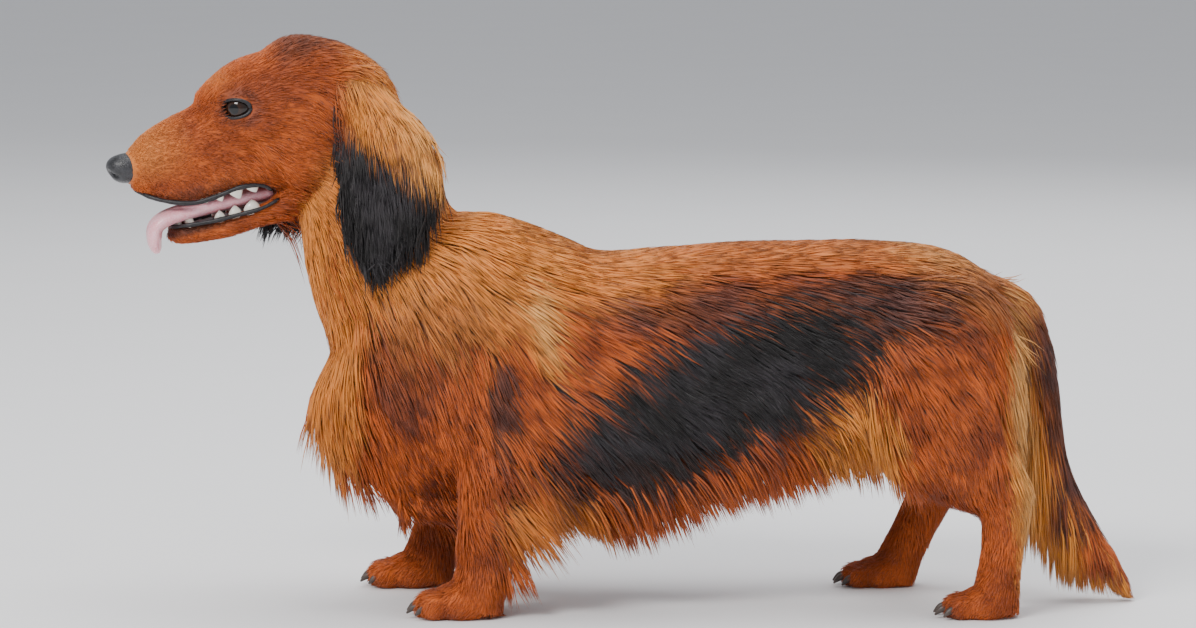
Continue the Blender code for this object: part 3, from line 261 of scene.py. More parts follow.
def dot(a, b):
    """The scalar product of each pair of vectors."""
    return np.sum(a * b, axis=-1)


def smooth_rows(rows, steps):
    """Rows with steps - 1 more between each pair, on a Catmull-Rom curve through them."""
    rows = np.array(rows, float)
    padded = np.vstack([2 * rows[0] - rows[1], rows, 2 * rows[-1] - rows[-2]])
    t = (np.arange(steps) / steps)[None, :, None]
    a, b, c, d = (padded[k:len(rows) - 1 + k, None, :] for k in range(4))
    curve = 0.5 * (2 * b + (c - a) * t + (2 * a - 5 * b + 4 * c - d) * t ** 2
                   + (3 * b - a - 3 * c + d) * t ** 3)
    return np.vstack([curve.reshape(-1, rows.shape[1]), rows[-1:]])


def loft_rings(rows, steps=3, sides=28):
    """Rings of egg-shaped superellipses, each across the path of the middles.

    A ring's point at an angle is its middle plus sgn(cos)|cos|^(2/q) half-widths along the
    lateral, wider above by the egg, plus sgn(sin)|sin|^(2/q) half-heights upwards.
    """
    rows = smooth_rows(rows, steps)
    middle = rows[:, :3]
    tangent = unit(np.gradient(middle, axis=0))
    lateral = unit(np.array([0.0, 1.0, 0.0]) - tangent * tangent[:, 1:2])
    upward = unit(np.cross(tangent, lateral))
    angle = 2 * np.pi * np.arange(sides) / sides
    c, s = np.cos(angle)[None], np.sin(angle)[None]
    power = 2 / rows[:, 6:7]
    across = np.sign(c) * np.abs(c) ** power * rows[:, 3:4] * (1 + rows[:, 5:6] * s)
    above = np.sign(s) * np.abs(s) ** power * rows[:, 4:5]
    return middle[:, None] + across[..., None] * lateral[:, None] + above[..., None] * upward[:, None]


def tube_faces(rings, sides, first=0):
    """Quads between neighbouring rings of a tube, and the triangles that close its two poles."""
    i, j = np.meshgrid(np.arange(rings - 1), np.arange(sides), indexing="ij")
    k = (j + 1) % sides
    quads = np.stack([i * sides + j, i * sides + k, (i + 1) * sides + k, (i + 1) * sides + j], -1)
    j, k = np.arange(sides), (np.arange(sides) + 1) % sides
    low, high = rings * sides, rings * sides + 1
    last = (rings - 1) * sides
    ends = np.vstack([np.stack([k, j, np.full(sides, low)], -1),
                      np.stack([last + j, last + k, np.full(sides, high)], -1)])
    return quads.reshape(-1, 4) + first, ends + first


def closed_tube(rings):
    """The points of the rings with a pole at each end's middle, and their faces."""
    points = np.vstack([rings.reshape(-1, 3), rings[0].mean(0)[None], rings[-1].mean(0)[None]])
    return points, *tube_faces(rings.shape[0], rings.shape[1])


def ball(centre, radii, turn=None, rings=18, sides=28):
    """An ellipsoid: its poles lie on its first axis, turned about its centre."""
    polar = np.pi * (np.arange(1, rings) / rings)[:, None]
    round_ = (2 * np.pi * np.arange(sides) / sides)[None]
    shape = np.stack([np.cos(polar) + 0 * round_, np.sin(polar) * np.cos(round_),
                      np.sin(polar) * np.sin(round_)], -1)
    points = np.vstack([shape.reshape(-1, 3), [[1, 0, 0]], [[-1, 0, 0]]]) * np.array(radii, float)
    if turn is not None:
        points = points @ np.asarray(turn).T
    return points + np.array(centre, float), *tube_faces(rings - 1, sides)


def outward(points, faces):
    """The faces with their corners in the order that gives the closed mesh a positive volume."""
    volume = 0.0
    for group in faces:
        for k in range(1, group.shape[1] - 1):
            a, b, c = points[group[:, 0]], points[group[:, k]], points[group[:, k + 1]]
            volume += dot(a, np.cross(b, c)).sum()
    return [group[:, ::-1] if volume < 0 else group for group in faces]


def merged(parts):
    """Several (points, quads, triangles) as one."""
    points, groups, first = [], {3: [], 4: []}, 0
    for part in parts:
        faces = outward(part[0], part[1:])
        for group in faces:
            groups[group.shape[1]].append(group + first)
        points.append(part[0])
        first += len(part[0])
    made = [np.vstack(g) for g in groups.values() if g]
    return (np.vstack(points), *made)


def moved(part, side=1, to_world=None):
    """A part mirrored to one side and taken from the head's frame to the world's."""
    points = part[0] * np.array([1.0, side, 1.0])
    if to_world is not None:
        points = points @ to_world[:3, :3].T + to_world[:3, 3]
    return (points, *part[1:])


def put_mesh(name, points, *faces):
    """A new object from points in millimetres and arrays of faces of three or four corners."""
    mesh = bpy.data.meshes.new(name)
    corners = np.concatenate([f.ravel() for f in faces]).astype(np.int32)
    sizes = np.concatenate([np.full(len(f), f.shape[1]) for f in faces])
    starts = np.concatenate([[0], np.cumsum(sizes)[:-1]]).astype(np.int32)
    mesh.vertices.add(len(points))
    mesh.vertices.foreach_set("co", (np.asarray(points) * MM).astype(np.float32).ravel())
    mesh.loops.add(len(corners))
    mesh.loops.foreach_set("vertex_index", corners)
    mesh.polygons.add(len(sizes))
    mesh.polygons.foreach_set("loop_start", starts)
    mesh.polygons.foreach_set("use_smooth", np.ones(len(sizes), bool))
    mesh.update(calc_edges=True)
    obj = bpy.data.objects.new(name, mesh)
    bpy.context.scene.collection.objects.link(obj)
    return obj


def put_number(obj, name, values):
    """A number on each vertex of the object."""
    made = obj.data.attributes.new(name, "FLOAT", "POINT")
    made.data.foreach_set("value", np.asarray(values, np.float32))


def put_colour(obj, name, values):
    """Four numbers on each vertex of the object, kept as a colour."""
    made = obj.data.attributes.new(name, "FLOAT_COLOR", "POINT")
    made.data.foreach_set("color", np.asarray(values, np.float32).ravel())


def put_uv(obj, name, values):
    """A UV map from a pair for each vertex."""
    corners = np.empty(len(obj.data.loops), np.int32)
    obj.data.loops.foreach_get("vertex_index", corners)
    obj.data.uv_layers.new(name=name).data.foreach_set(
        "uv", np.asarray(values, np.float32)[corners].ravel())


def apply_modifiers(obj):
    graph = bpy.context.evaluated_depsgraph_get()
    graph.update()
    mesh = bpy.data.meshes.new_from_object(obj.evaluated_get(graph))
    obj.modifiers.clear()
    obj.data = mesh
    return obj


def boolean(obj, cutters, operation="DIFFERENCE"):
    """One Boolean after another with closed cutters, which are then removed."""
    for points, *faces in cutters:
        cutter = put_mesh("cutter", points, *outward(points, faces))
        step = obj.modifiers.new("cut", "BOOLEAN")
        step.operation, step.solver, step.object = operation, "MANIFOLD", cutter
        apply_modifiers(obj)
        bpy.data.objects.remove(cutter)
    return obj


def vertex_arrays(obj):
    """The object's vertices in millimetres and their normals."""
    count = len(obj.data.vertices)
    points, normals = np.empty(count * 3, np.float32), np.empty(count * 3, np.float32)
    obj.data.vertices.foreach_get("co", points)
    obj.data.vertices.foreach_get("normal", normals)
    return points.reshape(-1, 3) / MM, normals.reshape(-1, 3)


def triangle_array(obj):
    obj.data.calc_loop_triangles()
    corners = np.empty(len(obj.data.loop_triangles) * 3, np.int32)
    obj.data.loop_triangles.foreach_get("vertices", corners)
    return corners.reshape(-1, 3)


# Where things are

def head_matrix():
    """Turns (F, Y, U) of the head's frame into X, Y, Z."""
    axes = Matrix(((-1, 0, 0), (0, 1, 0), (0, 0, 1))).to_4x4()
    turn = Matrix.Rotation(HEAD_YAW, 4, "Z") @ Matrix.Rotation(-HEAD_PITCH, 4, "Y")
    return np.array(Matrix.Translation(HEAD_ORIGIN) @ turn @ axes)


WORLD = head_matrix()
TO_HEAD = np.linalg.inv(WORLD)


def in_head(points):
    """World points in the head's frame."""
    return points @ TO_HEAD[:3, :3].T + TO_HEAD[:3, 3]


def ear_frame(side):
    """An ear's root in the world and the turn that takes (back, out, down) there."""
    root = (WORLD @ np.array([EAR_ROOT[0], EAR_ROOT[1] * side, EAR_ROOT[2], 1.0]))[:3]
    hang = (Matrix.Rotation(EAR_TURN[side], 3, "Z") @ Matrix.Rotation(EAR_SWING[side], 3, "Y")
            @ Matrix.Rotation(EAR_FLARE * side, 3, "X"))
    return root, np.array(hang) @ np.diag([1.0, side, -1.0])


def in_ear(points, side):
    """World points as (back, out, down) from the ear's root."""
    root, turn = ear_frame(side)
    return (points - root) @ np.linalg.inv(turn).T


def facing(direction):
    """Columns of a rotation that takes +X to the direction and keeps Z upwards."""
    ahead = unit(np.array(direction, float))
    sideways = unit(np.cross([0, 0, 1], ahead))
    return np.stack([ahead, sideways, np.cross(ahead, sideways)], 1)


def slimmer(rows, by):
    """The rings with their half-widths and half-heights less by a coat's depth."""
    return [(*r[:3], r[3] - by, r[4] - by, *r[5:]) for r in rows]


def foreleg_rows(side):
    """The foreleg's rings, leaning from its top under the shoulder to its paw."""
    rows = []
    for x, y, z, *rest in FORELEG:
        share = min(1.0, max(0.0, (z - 20) / 110))
        rows.append((x + FORELEG_X[side] * (1 - share) + FORELEG_TOP_X[side] * share, y, z, *rest))
    return rows


def hindleg_rows(side):
    """The hind leg's rings, with the foot stepped ahead of the hock."""
    rows = []
    for x, y, z, *rest in HINDLEG:
        step = HIND_STEP[side] * min(1.0, max(0.0, (66 - z) / 60))
        top = (HOCK_X[LEFT] - HOCK_X[side]) * min(1.0, max(0.0, (z - 80) / 90))
        rows.append((x + HOCK_X[side] + step + top, y, z, *rest))
    return rows


def paw_middle(kind, side):
    """The middle of a paw."""
    under = {"fore": FORELEG_X[side], "hind": HOCK_X[side] + HIND_STEP[side] - 4}[kind]
    return np.array([under - PAW_AHEAD * PAW_SIZE[kind], FOOT_Y, PAW_HEIGHT * PAW_SIZE[kind]])


def toes(kind, side):
    """The middle and the turn of each toe of a paw."""
    size, places = PAW_SIZE[kind], []
    for i in range(TOE_COUNT):
        share = i - (TOE_COUNT - 1) / 2
        turn = share * TOE_FAN
        reach = (TOE_REACH - 2.6 * abs(share) ** 1.5) * size
        offset = np.array([-math.cos(turn) * reach * 0.78, math.sin(turn) * reach * 1.25, -1.0])
        places.append((paw_middle(kind, side) + offset, turn))
    return places


def ear_shell(side, inset):
    """An ear's leaf: rings across its length, cupped towards the cheek.

    A ring's point is back + half cos, its bow plus thickness sin outwards, and its own depth down.
    """
    root, turn = ear_frame(side)
    along, broad = EAR_CORE
    rows = smooth_rows([(d * along, b * along, h * broad, t) for d, b, h, t in EAR_RINGS], 3)
    widest = max(r[2] for r in EAR_RINGS)
    angle = (2 * np.pi * np.arange(24) / 24)[None]
    c, s = np.cos(angle), np.sin(angle)
    down, back, half, thick = (rows[:, k:k + 1] for k in range(4))
    half, thick = np.maximum(half - inset, 2.0), np.maximum(thick - inset * 0.6, 1.3)
    bow = EAR_CUP * (1 - c * c) * half / widest
    local = np.stack([back + half * c, bow + thick * s, down * EAR_LENGTH[side] + 0 * c], -1)
    return closed_tube(local @ turn.T + root)


def profile_value(points, rows, grow=0.0):
    """How far out points lie in a loft along F: one on its surface, less inside it."""
    rows = np.array(rows, float)
    f = points[:, 0]
    y, u, w, h = (np.interp(f, rows[:, 0], rows[:, k]) for k in (1, 2, 3, 4))
    q = rows[0, 6]
    value = (np.abs((points[:, 1] - y) / (w + grow)) ** q + np.abs((points[:, 2] - u) / (h + grow)) ** q)
    outside = (f < rows[0, 0] - grow) | (f > rows[-1, 0] + grow)
    return np.where(outside, 9.0, value)


MOUTH = [(-4, 0, -52, 16, 5, 0, 3), (10, 0, -50, 19.5, 11, 0, 3), (30, 0, -50, 18, 12, 0, 3),
         (48, 0, -50, 15.5, 12, 0, 3), (60, 0, -50, 12, 10, 0, 3), (68, 0, -50, 8, 8, 0, 3)]
JAW_HOLLOW = [(-8, 0, -58, 14, 4, 0, 3), (6, 0, -60.5, 16.5, 5, 0, 3), (26, 0, -61, 14.5, 5, 0, 3),
              (42, 0, -61, 12, 4.5, 0, 3), (54, 0, -61, 8, 4, 0, 3)]


def lid_outline(count):
    """The rim of the lids' opening across the gaze: a lens, its outer corner a little lower."""
    t = 2 * np.pi * np.arange(count) / count
    a = LID_OPENING[0] / 2 * np.cos(t)
    rise = np.sin(t)
    b = LID_OPENING[1] / 2 * np.sign(rise) * np.abs(rise) ** 0.85 * np.where(rise > 0, 1, 0.9)
    return a, b - 0.12 * a


def lid_prism(side):
    """The cutter that opens the lids: their outline carried along the gaze."""
    a, b = lid_outline(40)
    turn = facing(EYE_GAZE)
    depth = np.array([2.0, 40.0])[:, None]
    local = np.stack([depth + 0 * a, a + 0 * depth, b + 0 * depth], -1)
    return moved(closed_tube(local @ turn.T + np.array(EYE_CENTRE)), side, WORLD)


# The skin

def skin_parts(depth):
    """The lofts and balls that make up the skin, each inset from the coat's outer form."""
    body = [closed_tube(loft_rings(slimmer(TRUNK, depth))), closed_tube(loft_rings(slimmer(NECK, depth)))]
    body.append(closed_tube(loft_rings(slimmer(CHEST_CORE, CHEST_INSET))))
    body.append(closed_tube(loft_rings(slimmer(BELLY_CORE, BELLY_INSET))))
    body.append(closed_tube(loft_rings(slimmer(TAIL, TAIL_INSET), 6, 20)))
    head = [closed_tube(loft_rings(slimmer(SKULL, HEAD_INSET), 4, 40)),
            closed_tube(loft_rings(slimmer(JAW, HEAD_INSET), 4, 40))]
    head = [moved(part, 1, WORLD) for part in head]
    for side in (LEFT, RIGHT):
        centre, radii = SHOULDER
        body.append(moved(ball(centre, np.array(radii) - SHOULDER_INSET), side))
        body.append(moved(closed_tube(loft_rings(slimmer(BREECHES_CORE, BREECHES_INSET))), side))
        head.append(moved(closed_tube(loft_rings(slimmer(FLEW, HEAD_INSET), 3, 20)), side, WORLD))
        for centre, radii in (BROW, CHEEK_BONE, CHEEK, EYE_BULGE):
            head.append(moved(ball(centre, np.array(radii) - HEAD_INSET), side, WORLD))
        for kind, rows in (("fore", foreleg_rows(side)), ("hind", hindleg_rows(side))):
            size = PAW_SIZE[kind]
            body.append(moved(closed_tube(loft_rings(slimmer(rows, LEG_INSET))), side))
            paw = ball(paw_middle(kind, side), (np.array(PAW_RADII) - LEG_INSET) * size)
            body.append(moved(paw, side))
            for place, turn in toes(kind, side):
                spun = np.array(Matrix.Rotation(-turn, 3, "Z"))
                toe = ball(place, (np.array(TOE_RADII) - TOE_INSET) * size, spun, 12, 20)
                body.append(moved(toe, side))
        body.append(ear_shell(side, EAR_INSET))
    return body + head


def build_skin():
    """One closed skin: the parts fused by a voxel remesh, smoothed, opened and thinned."""
    obj = put_mesh("skin", *merged(skin_parts(COAT_DEPTH)))
    step = obj.modifiers.new("remesh", "REMESH")
    step.mode, step.voxel_size = "VOXEL", SKIN_VOXEL * MM
    step = obj.modifiers.new("smooth", "SMOOTH")
    step.factor, step.iterations = 0.5, 6
    apply_modifiers(obj)
    lids, holes = [], []
    for side in (LEFT, RIGHT):
        lid = ball(EYE_CENTRE, (LID_RADIUS - 0.4,) * 3, facing(EYE_GAZE), 24, 40)
        socket = ball(EYE_CENTRE, (SOCKET_RADIUS - 0.9,) * 3, facing(EYE_GAZE), 24, 40)
        lids.append(moved(lid, side, WORLD))
        holes.append(moved(socket, side, WORLD))
        holes.append(lid_prism(side))
    boolean(obj, lids, "UNION")
    holes += [moved(closed_tube(loft_rings(rows, 3, 32)), 1, WORLD) for rows in (MOUTH, JAW_HOLLOW)]
    holes.append(block((-400, -200, -40), (400, 200, 0.0)))
    boolean(obj, holes)
    count = len(triangle_array(obj))
    step = obj.modifiers.new("thin", "DECIMATE")
    step.ratio = min(1.0, SKIN_TRIANGLES / count)
    apply_modifiers(obj)
    obj.data.polygons.foreach_set("use_smooth", np.ones(len(obj.data.polygons), bool))
    return obj


def block(low, high):
    """A box between two corners: its eight points take each corner's numbers in turn."""
    pick = (np.arange(8)[:, None] >> np.arange(3)[None]) & 1
    points = np.where(pick == 1, np.array(high, float), np.array(low, float))
    sides = [(0, 2, 3, 1), (4, 5, 7, 6), (0, 1, 5, 4), (2, 6, 7, 3), (0, 4, 6, 2), (1, 3, 7, 5)]
    return points, np.array(sides)


class NearGrid:
    """The nearest skin vertex for each cell of a grid round the skin.

    A cell that holds a vertex starts with it. At each pass a cell takes the vertex of any
    neighbour whose vertex lies nearer to the cell's middle.
    """

    def __init__(self, points, normals, cell=3.0, passes=5):
        self.points, self.normals, self.cell = points.astype(np.float32), normals, cell
        self.low = points.min(0) - cell * 6
        shape = np.ceil((points.max(0) + cell * 6 - self.low) / cell).astype(int)
        self.index = np.full(shape, -1, np.int32)
        where = tuple(((points - self.low) / cell).astype(int).T)
        self.index[where] = np.arange(len(points))
        self.gap = np.where(self.index >= 0, 0.87 * cell, np.inf).astype(np.float32)
        for _ in range(passes):
            for axis in range(3):
                for shift in (1, -1):
                    self._spread(axis, shift)

    def _spread(self, axis, shift):
        other = np.roll(self.index, shift, axis)
        cells = np.nonzero((other >= 0) & (other != self.index))
        middles = (np.stack(cells, -1) + 0.5) * self.cell + self.low
        gap = np.linalg.norm(middles - self.points[other[cells]], axis=1)
        better = gap < self.gap[cells]
        chosen = tuple(c[better] for c in cells)
        self.index[chosen], self.gap[chosen] = other[cells][better], gap[better]

    def near(self, points):
        """The skin's nearest point, its normal, and whether there is one within reach."""
        where = ((points - self.low) / self.cell).astype(int)
        inside = np.all((where >= 0) & (where < self.index.shape), axis=-1)
        where = np.clip(where, 0, np.array(self.index.shape) - 1)
        found = self.index[tuple(where.reshape(-1, 3).T)].reshape(points.shape[:-1])
        return self.points[found], self.normals[found], inside & (found >= 0)


# The lie of the hair

# Rows of the comb: X, Y outwards, Z, then the lie's X, outward and Z, then the hair's length,
# the height of its tip over the skin, its tuft's width, and how freely it hangs from 0 to 1
BODY_COMB = [
    (-160, 8, 352, 0.85, 0, -0.6, 24, 3, 1.3, 0.05), (-188, 48, 318, 0.6, 0, -0.9, 28, 3, 1.3, 0.1),
    (-170, 54, 272, 0.5, 0.05, -1, 34, 3.5, 1.5, 0.1), (-160, 64, 226, 0.5, 0.05, -1, 42, 4.5, 1.7, 0.15),
    (-122, 10, 300, 0.85, 0, -0.65, 30, 3.5, 1.5, 0.1), (-225, 0, 296, 0.35, 0, -1, 34, 5, 1.5, 0.25),
    (-225, 25, 300, 0.4, 0, -1, 30, 4, 1.4, 0.2), (-220, 0, 250, 0.3, 0, -1, 46, 6, 1.7, 0.3),
    (-205, 40, 245, 0.4, 0, -1, 44, 5, 1.7, 0.25), (-212, 0, 212, 0.28, 0, -1, 52, 4, 1.9, 0.35),
    (-205, 0, 160, 0.3, 0, -1, 56, 4, 2.0, 0.4), (-190, 0, 104, 0.55, 0, -1, 54, 4, 2.0, 0.5),
    (-190, 48, 165, 0.35, 0, -1, 52, 6, 2.0, 0.35), (-178, 50, 104, 0.5, 0, -1, 50, 7, 2.0, 0.45),
    (-80, 8, 262, 1, 0, -0.25, 28, 3, 1.5, 0), (-112, 48, 240, 0.75, 0, -0.75, 38, 4, 1.8, 0.05),
    (-124, 76, 192, 0.5, 0, -1, 44, 4.5, 2.0, 0.1), (-100, 82, 150, 0.5, 0, -1, 46, 4.5, 2.0, 0.1),
    (-112, 74, 104, 0.6, 0, -1, 46, 5, 2.0, 0.2), (-50, 80, 112, 0.85, 0, -0.6, 48, 5, 2.0, 0.15),
    (0, 6, 232, 1, 0, -0.08, 23, 2.2, 1.5, 0), (80, 6, 236, 1, 0, 0, 22, 2.2, 1.5, 0),
    (150, 6, 240, 1, 0, -0.05, 22, 2.2, 1.5, 0), (205, 6, 230, 0.9, 0, -0.5, 26, 2.5, 1.5, 0),
    (240, 6, 200, 0.5, 0, -0.9, 32, 4, 1.6, 0.1), (-30, 55, 208, 0.95, 0, -0.42, 38, 3.5, 1.8, 0),
    (50, 55, 216, 0.95, 0, -0.32, 36, 3.2, 1.8, 0), (130, 52, 216, 0.95, 0, -0.34, 34, 3.2, 1.8, 0),
    (-40, 84, 160, 0.88, 0, -0.6, 46, 4.2, 2.0, 0.05), (40, 82, 160, 0.92, 0, -0.48, 46, 4.0, 2.0, 0.05),
    (110, 72, 170, 0.92, 0, -0.42, 42, 3.8, 1.9, 0.05), (-40, 70, 106, 0.85, 0, -0.62, 50, 5.5, 2.0, 0.2),
    (40, 70, 112, 0.85, 0, -0.62, 50, 5.5, 2.0, 0.2), (100, 62, 126, 0.8, 0, -0.65, 48, 5.5, 2.0, 0.2),
    (-100, 0, 62, 0.85, 0, -0.5, 44, 8, 2.0, 0.55), (0, 0, 76, 0.85, 0, -0.55, 44, 8, 2.0, 0.55),
    (90, 0, 100, 0.85, 0, -0.55, 44, 8, 2.0, 0.5), (-90, 42, 66, 0.8, 0, -0.75, 46, 8, 2.0, 0.5),
    (0, 46, 78, 0.8, 0, -0.75, 46, 8, 2.0, 0.5), (80, 46, 104, 0.8, 0, -0.75, 46, 8, 2.0, 0.45),
    (146, 58, 132, 0.5, 0, -1, 48, 6, 1.9, 0.3), (150, 46, 106, 0.45, 0, -1, 46, 8, 1.9, 0.45),
    (180, 66, 192, 0.88, 0, -0.5, 36, 3.5, 1.8, 0.05), (200, 72, 160, 0.72, 0, -0.75, 34, 3.5, 1.7, 0.05),
    (208, 72, 128, 0.5, 0, -0.9, 29, 3.2, 1.5, 0.05), (214, 68, 100, 0.35, 0, -1, 22, 2.6, 1.3, 0.05),
    (252, 48, 182, 0.4, 0, -1, 36, 6, 1.7, 0.2), (250, 54, 142, 0.3, 0, -1, 42, 7, 1.7, 0.3),
    (246, 58, 108, 0.25, 0, -1, 36, 6, 1.6, 0.3), (246, 6, 158, 0.25, 0, -1, 34, 5, 1.6, 0.2),
    (240, 0, 206, 0.6, 0, -0.8, 34, 4, 1.6, 0.1), (264, 0, 176, 0.4, 0, -1, 40, 5, 1.7, 0.15),
    (270, 8, 160, 0.35, 0.02, -1, 40, 5, 1.7, 0.15), (284, 8, 120, 0.45, 0.04, -1, 52, 6, 1.8, 0.35),
    (292, 6, 80, 0.7, 0.05, -0.8, 50, 7, 1.8, 0.3), (308, 4, 46, 0.8, 0.05, -0.5, 40, 6, 1.7, 0.3),
    (250, 8, 150, -0.06, 0.02, -1, 70, 8, 1.9, 0.8), (256, 8, 110, -0.10, 0.03, -1, 86, 9, 2.1, 0.9),
    (266, 6, 70, -0.14, 0.06, -1, 66, 9, 2.1, 0.9), (284, 5, 46, 0.0, 0.08, -1, 46, 9, 1.9, 0.9),
    (292, 4, 32, 0.7, 0.03, -0.6, 40, 5, 1.7, 0.6),
]
# The same for a leg, with X counted from its own upright
FORE_COMB = [
    (-22, 58, 112, 0.1, 0, -1, 18, 1.8, 1.2, 0), (-17, 59, 72, 0.0, 0, -1, 11, 1.1, 0.95, 0),
    (0, 77, 84, 0.35, 0, -1, 17, 1.6, 1.1, 0), (0, 42, 84, 0.35, 0, -1, 16, 1.6, 1.1, 0),
    (22, 62, 104, 0.95, 0.06, -0.6, 56, 8, 1.7, 0.35), (20, 62, 74, 0.98, 0.06, -0.5, 58, 9, 1.7, 0.4),
    (18, 61, 44, 0.9, 0.05, -0.6, 44, 7, 1.6, 0.4), (-14, 59, 32, -0.1, 0, -1, 8, 0.9, 0.85, 0),
    (2, 75, 38, 0.25, 0, -1, 11, 1.1, 0.95, 0), (2, 43, 38, 0.25, 0, -1, 11, 1.1, 0.95, 0),
    (-12, 59, 24, -0.8, 0, -0.6, 6, 0.8, 0.8, 0), (-30, 59, 14, -0.8, 0, -0.7, 5, 0.7, 0.75, 0),
    (-4, 82, 10, -0.6, 0.1, -0.8, 5.5, 0.8, 0.8, 0), (-4, 36, 10, -0.6, 0.1, -0.8, 5.5, 0.8, 0.8, 0),
    (18, 59, 14, 0.2, 0, -1, 9, 1.3, 0.9, 0),
]
HIND_COMB = [
    (12, 58, 84, 0.35, 0, -1, 22, 3, 1.2, 0.1), (-16, 58, 84, 0.25, 0, -1, 13, 1.5, 1.0, 0),
    (0, 73, 66, 0.15, 0, -1, 11, 1.1, 0.95, 0), (0, 45, 66, 0.15, 0, -1, 11, 1.1, 0.95, 0),
    (-15, 59, 46, -0.1, 0, -1, 9, 0.9, 0.9, 0), (14, 59, 46, 0.25, 0, -1, 13, 1.8, 1.0, 0),
    (-14, 59, 24, -0.7, 0, -0.7, 6, 0.8, 0.8, 0), (-34, 59, 12, -0.8, 0, -0.7, 5, 0.7, 0.75, 0),
    (-8, 80, 10, -0.6, 0.1, -0.8, 5.5, 0.8, 0.8, 0), (-8, 40, 10, -0.6, 0.1, -0.8, 5.5, 0.8, 0.8, 0),
    (12, 59, 12, 0.2, 0, -1, 8, 1.2, 0.9, 0),
]
# The same in the head's frame, where the lie's numbers are along F, outwards and along U
HEAD_COMB = [
    (70, 0, -2, -1, 0.1, 0.1, 2.6, 0.35, 0.6, 0), (56, 8, 2, -1, 0.1, 0.1, 3.2, 0.4, 0.65, 0),
    (36, 8, 5, -1, 0.1, 0.15, 4, 0.5, 0.7, 0), (14, 8, 12, -1, 0.05, 0.4, 4.6, 0.6, 0.75, 0),
    (52, 22, -20, -1, 0.15, -0.15, 4.2, 0.5, 0.7, 0), (28, 25, -20, -1, 0.15, -0.1, 5.5, 0.6, 0.8, 0),
    (62, 18, -34, -0.8, 0.1, -0.6, 3.4, 0.45, 0.65, 0), (44, 22, -42, -0.75, 0, -0.7, 4, 0.5, 0.7, 0),
    (18, 26, -44, -0.75, 0, -0.7, 5, 0.6, 0.75, 0), (-2, 27, -50, -0.85, 0, -0.5, 6.5, 0.7, 0.8, 0),
    (10, 14, 19, -0.7, 0.25, 0.6, 4.5, 0.6, 0.75, 0), (-6, 22, 22, -0.9, 0.25, 0.35, 5.5, 0.7, 0.8, 0),
    (-6, 0, 26, -0.85, 0.1, 0.5, 5, 0.6, 0.8, 0), (6, 30, -14, -1, 0.15, -0.25, 5, 0.6, 0.75, 0),
    (-20, 0, 32, -1, 0.05, 0.25, 7, 0.8, 0.9, 0), (-22, 28, 18, -1, 0.15, -0.05, 7, 0.8, 0.9, 0),
    (-42, 0, 33, -1, 0.05, -0.05, 10, 1.2, 1.0, 0), (-66, 0, 24, -0.9, 0.05, -0.45, 14, 1.6, 1.1, 0),
    (-48, 34, 14, -0.95, 0.1, -0.35, 11, 1.3, 1.0, 0), (-20, 36, -14, -1, 0.1, -0.25, 7.5, 0.9, 0.9, 0),
    (-28, 40, -36, -0.95, 0.05, -0.4, 9, 1.1, 0.95, 0), (-52, 40, -40, -0.85, 0, -0.6, 14, 1.8, 1.1, 0),
    (-72, 34, -30, -0.75, 0, -0.7, 18, 2.2, 1.2, 0.05), (-88, 0, 0, -0.6, 0, -0.8, 20, 2.6, 1.2, 0.05),
    (44, 15, -74, -1, 0, -0.25, 4.5, 0.6, 0.75, 0), (60, 4, -72, -0.9, 0, -0.5, 4, 0.6, 0.75, 0),
    (20, 19, -74, -1, 0, -0.2, 6, 0.7, 0.8, 0), (20, 0, -78, -1, 0, -0.1, 7, 1.0, 0.85, 0.1),
    (-14, 24, -72, -0.95, 0, -0.4, 9, 1.1, 0.9, 0.05), (-20, 0, -78, -1, 0, -0.3, 10, 1.6, 1.0, 0.1),
    (-50, 0, -76, -0.8, 0, -0.65, 18, 2.6, 1.2, 0.2), (-46, 28, -66, -0.85, 0, -0.6, 15, 2.0, 1.1, 0.1),
]
# The same in an ear's frame: back, outwards, down, with the lie's numbers in that order
EAR_COMB = [
    (-6, 6, 6, 0.35, 0.05, 1, 24, 2.2, 1.2, 0), (12, 6, 4, 0.6, 0.05, 0.9, 26, 2.4, 1.3, 0),
    (-14, 6, 36, 0.02, 0, 1, 26, 2.0, 1.3, 0.05), (-12, 6, 80, 0.08, 0, 1, 28, 2.0, 1.3, 0.1),
    (10, 8, 36, 0.25, 0, 1, 32, 2.6, 1.5, 0.05), (24, 8, 72, 0.12, 0, 1, 36, 2.6, 1.5, 0.1),
    (34, 6, 24, 0.6, 0, 1, 36, 3.0, 1.5, 0.1), (50, 4, 52, 0.45, 0, 1, 42, 3.5, 1.5, 0.1),
    (56, 4, 84, 0.22, 0, 1, 42, 3.5, 1.5, 0.15), (18, 4, 116, 0.12, 0, 1, 34, 3.0, 1.5, 0.2),
    (20, -4, 60, 0.1, 0, 1, 20, 1.5, 1.4, 0.1), (20, -4, 110, 0.05, 0, 1, 28, 2.0, 1.4, 0.3),
]


def comb_rows():
    """Every row of the comb but the ears', in the world's frame."""
    rows = []
    for side in (LEFT, RIGHT):
        turn = np.array([1.0, side, 1.0])
        tables = [(BODY_COMB, 0.0), (FORE_COMB, FORELEG_X[side]),
                  (HIND_COMB, HOCK_X[side] + HIND_STEP[side])]
        for table, ahead in tables:
            for row in table:
                place = (np.array(row[:3]) + [ahead, 0, 0]) * turn
                rows.append((*place, *(np.array(row[3:6]) * turn), *row[6:]))
        for row in HEAD_COMB:
            place = WORLD[:3, :3] @ (np.array(row[:3]) * turn) + WORLD[:3, 3]
            rows.append((*place, *(WORLD[:3, :3] @ (np.array(row[3:6]) * turn)), *row[6:]))
    return np.array(rows, np.float32)


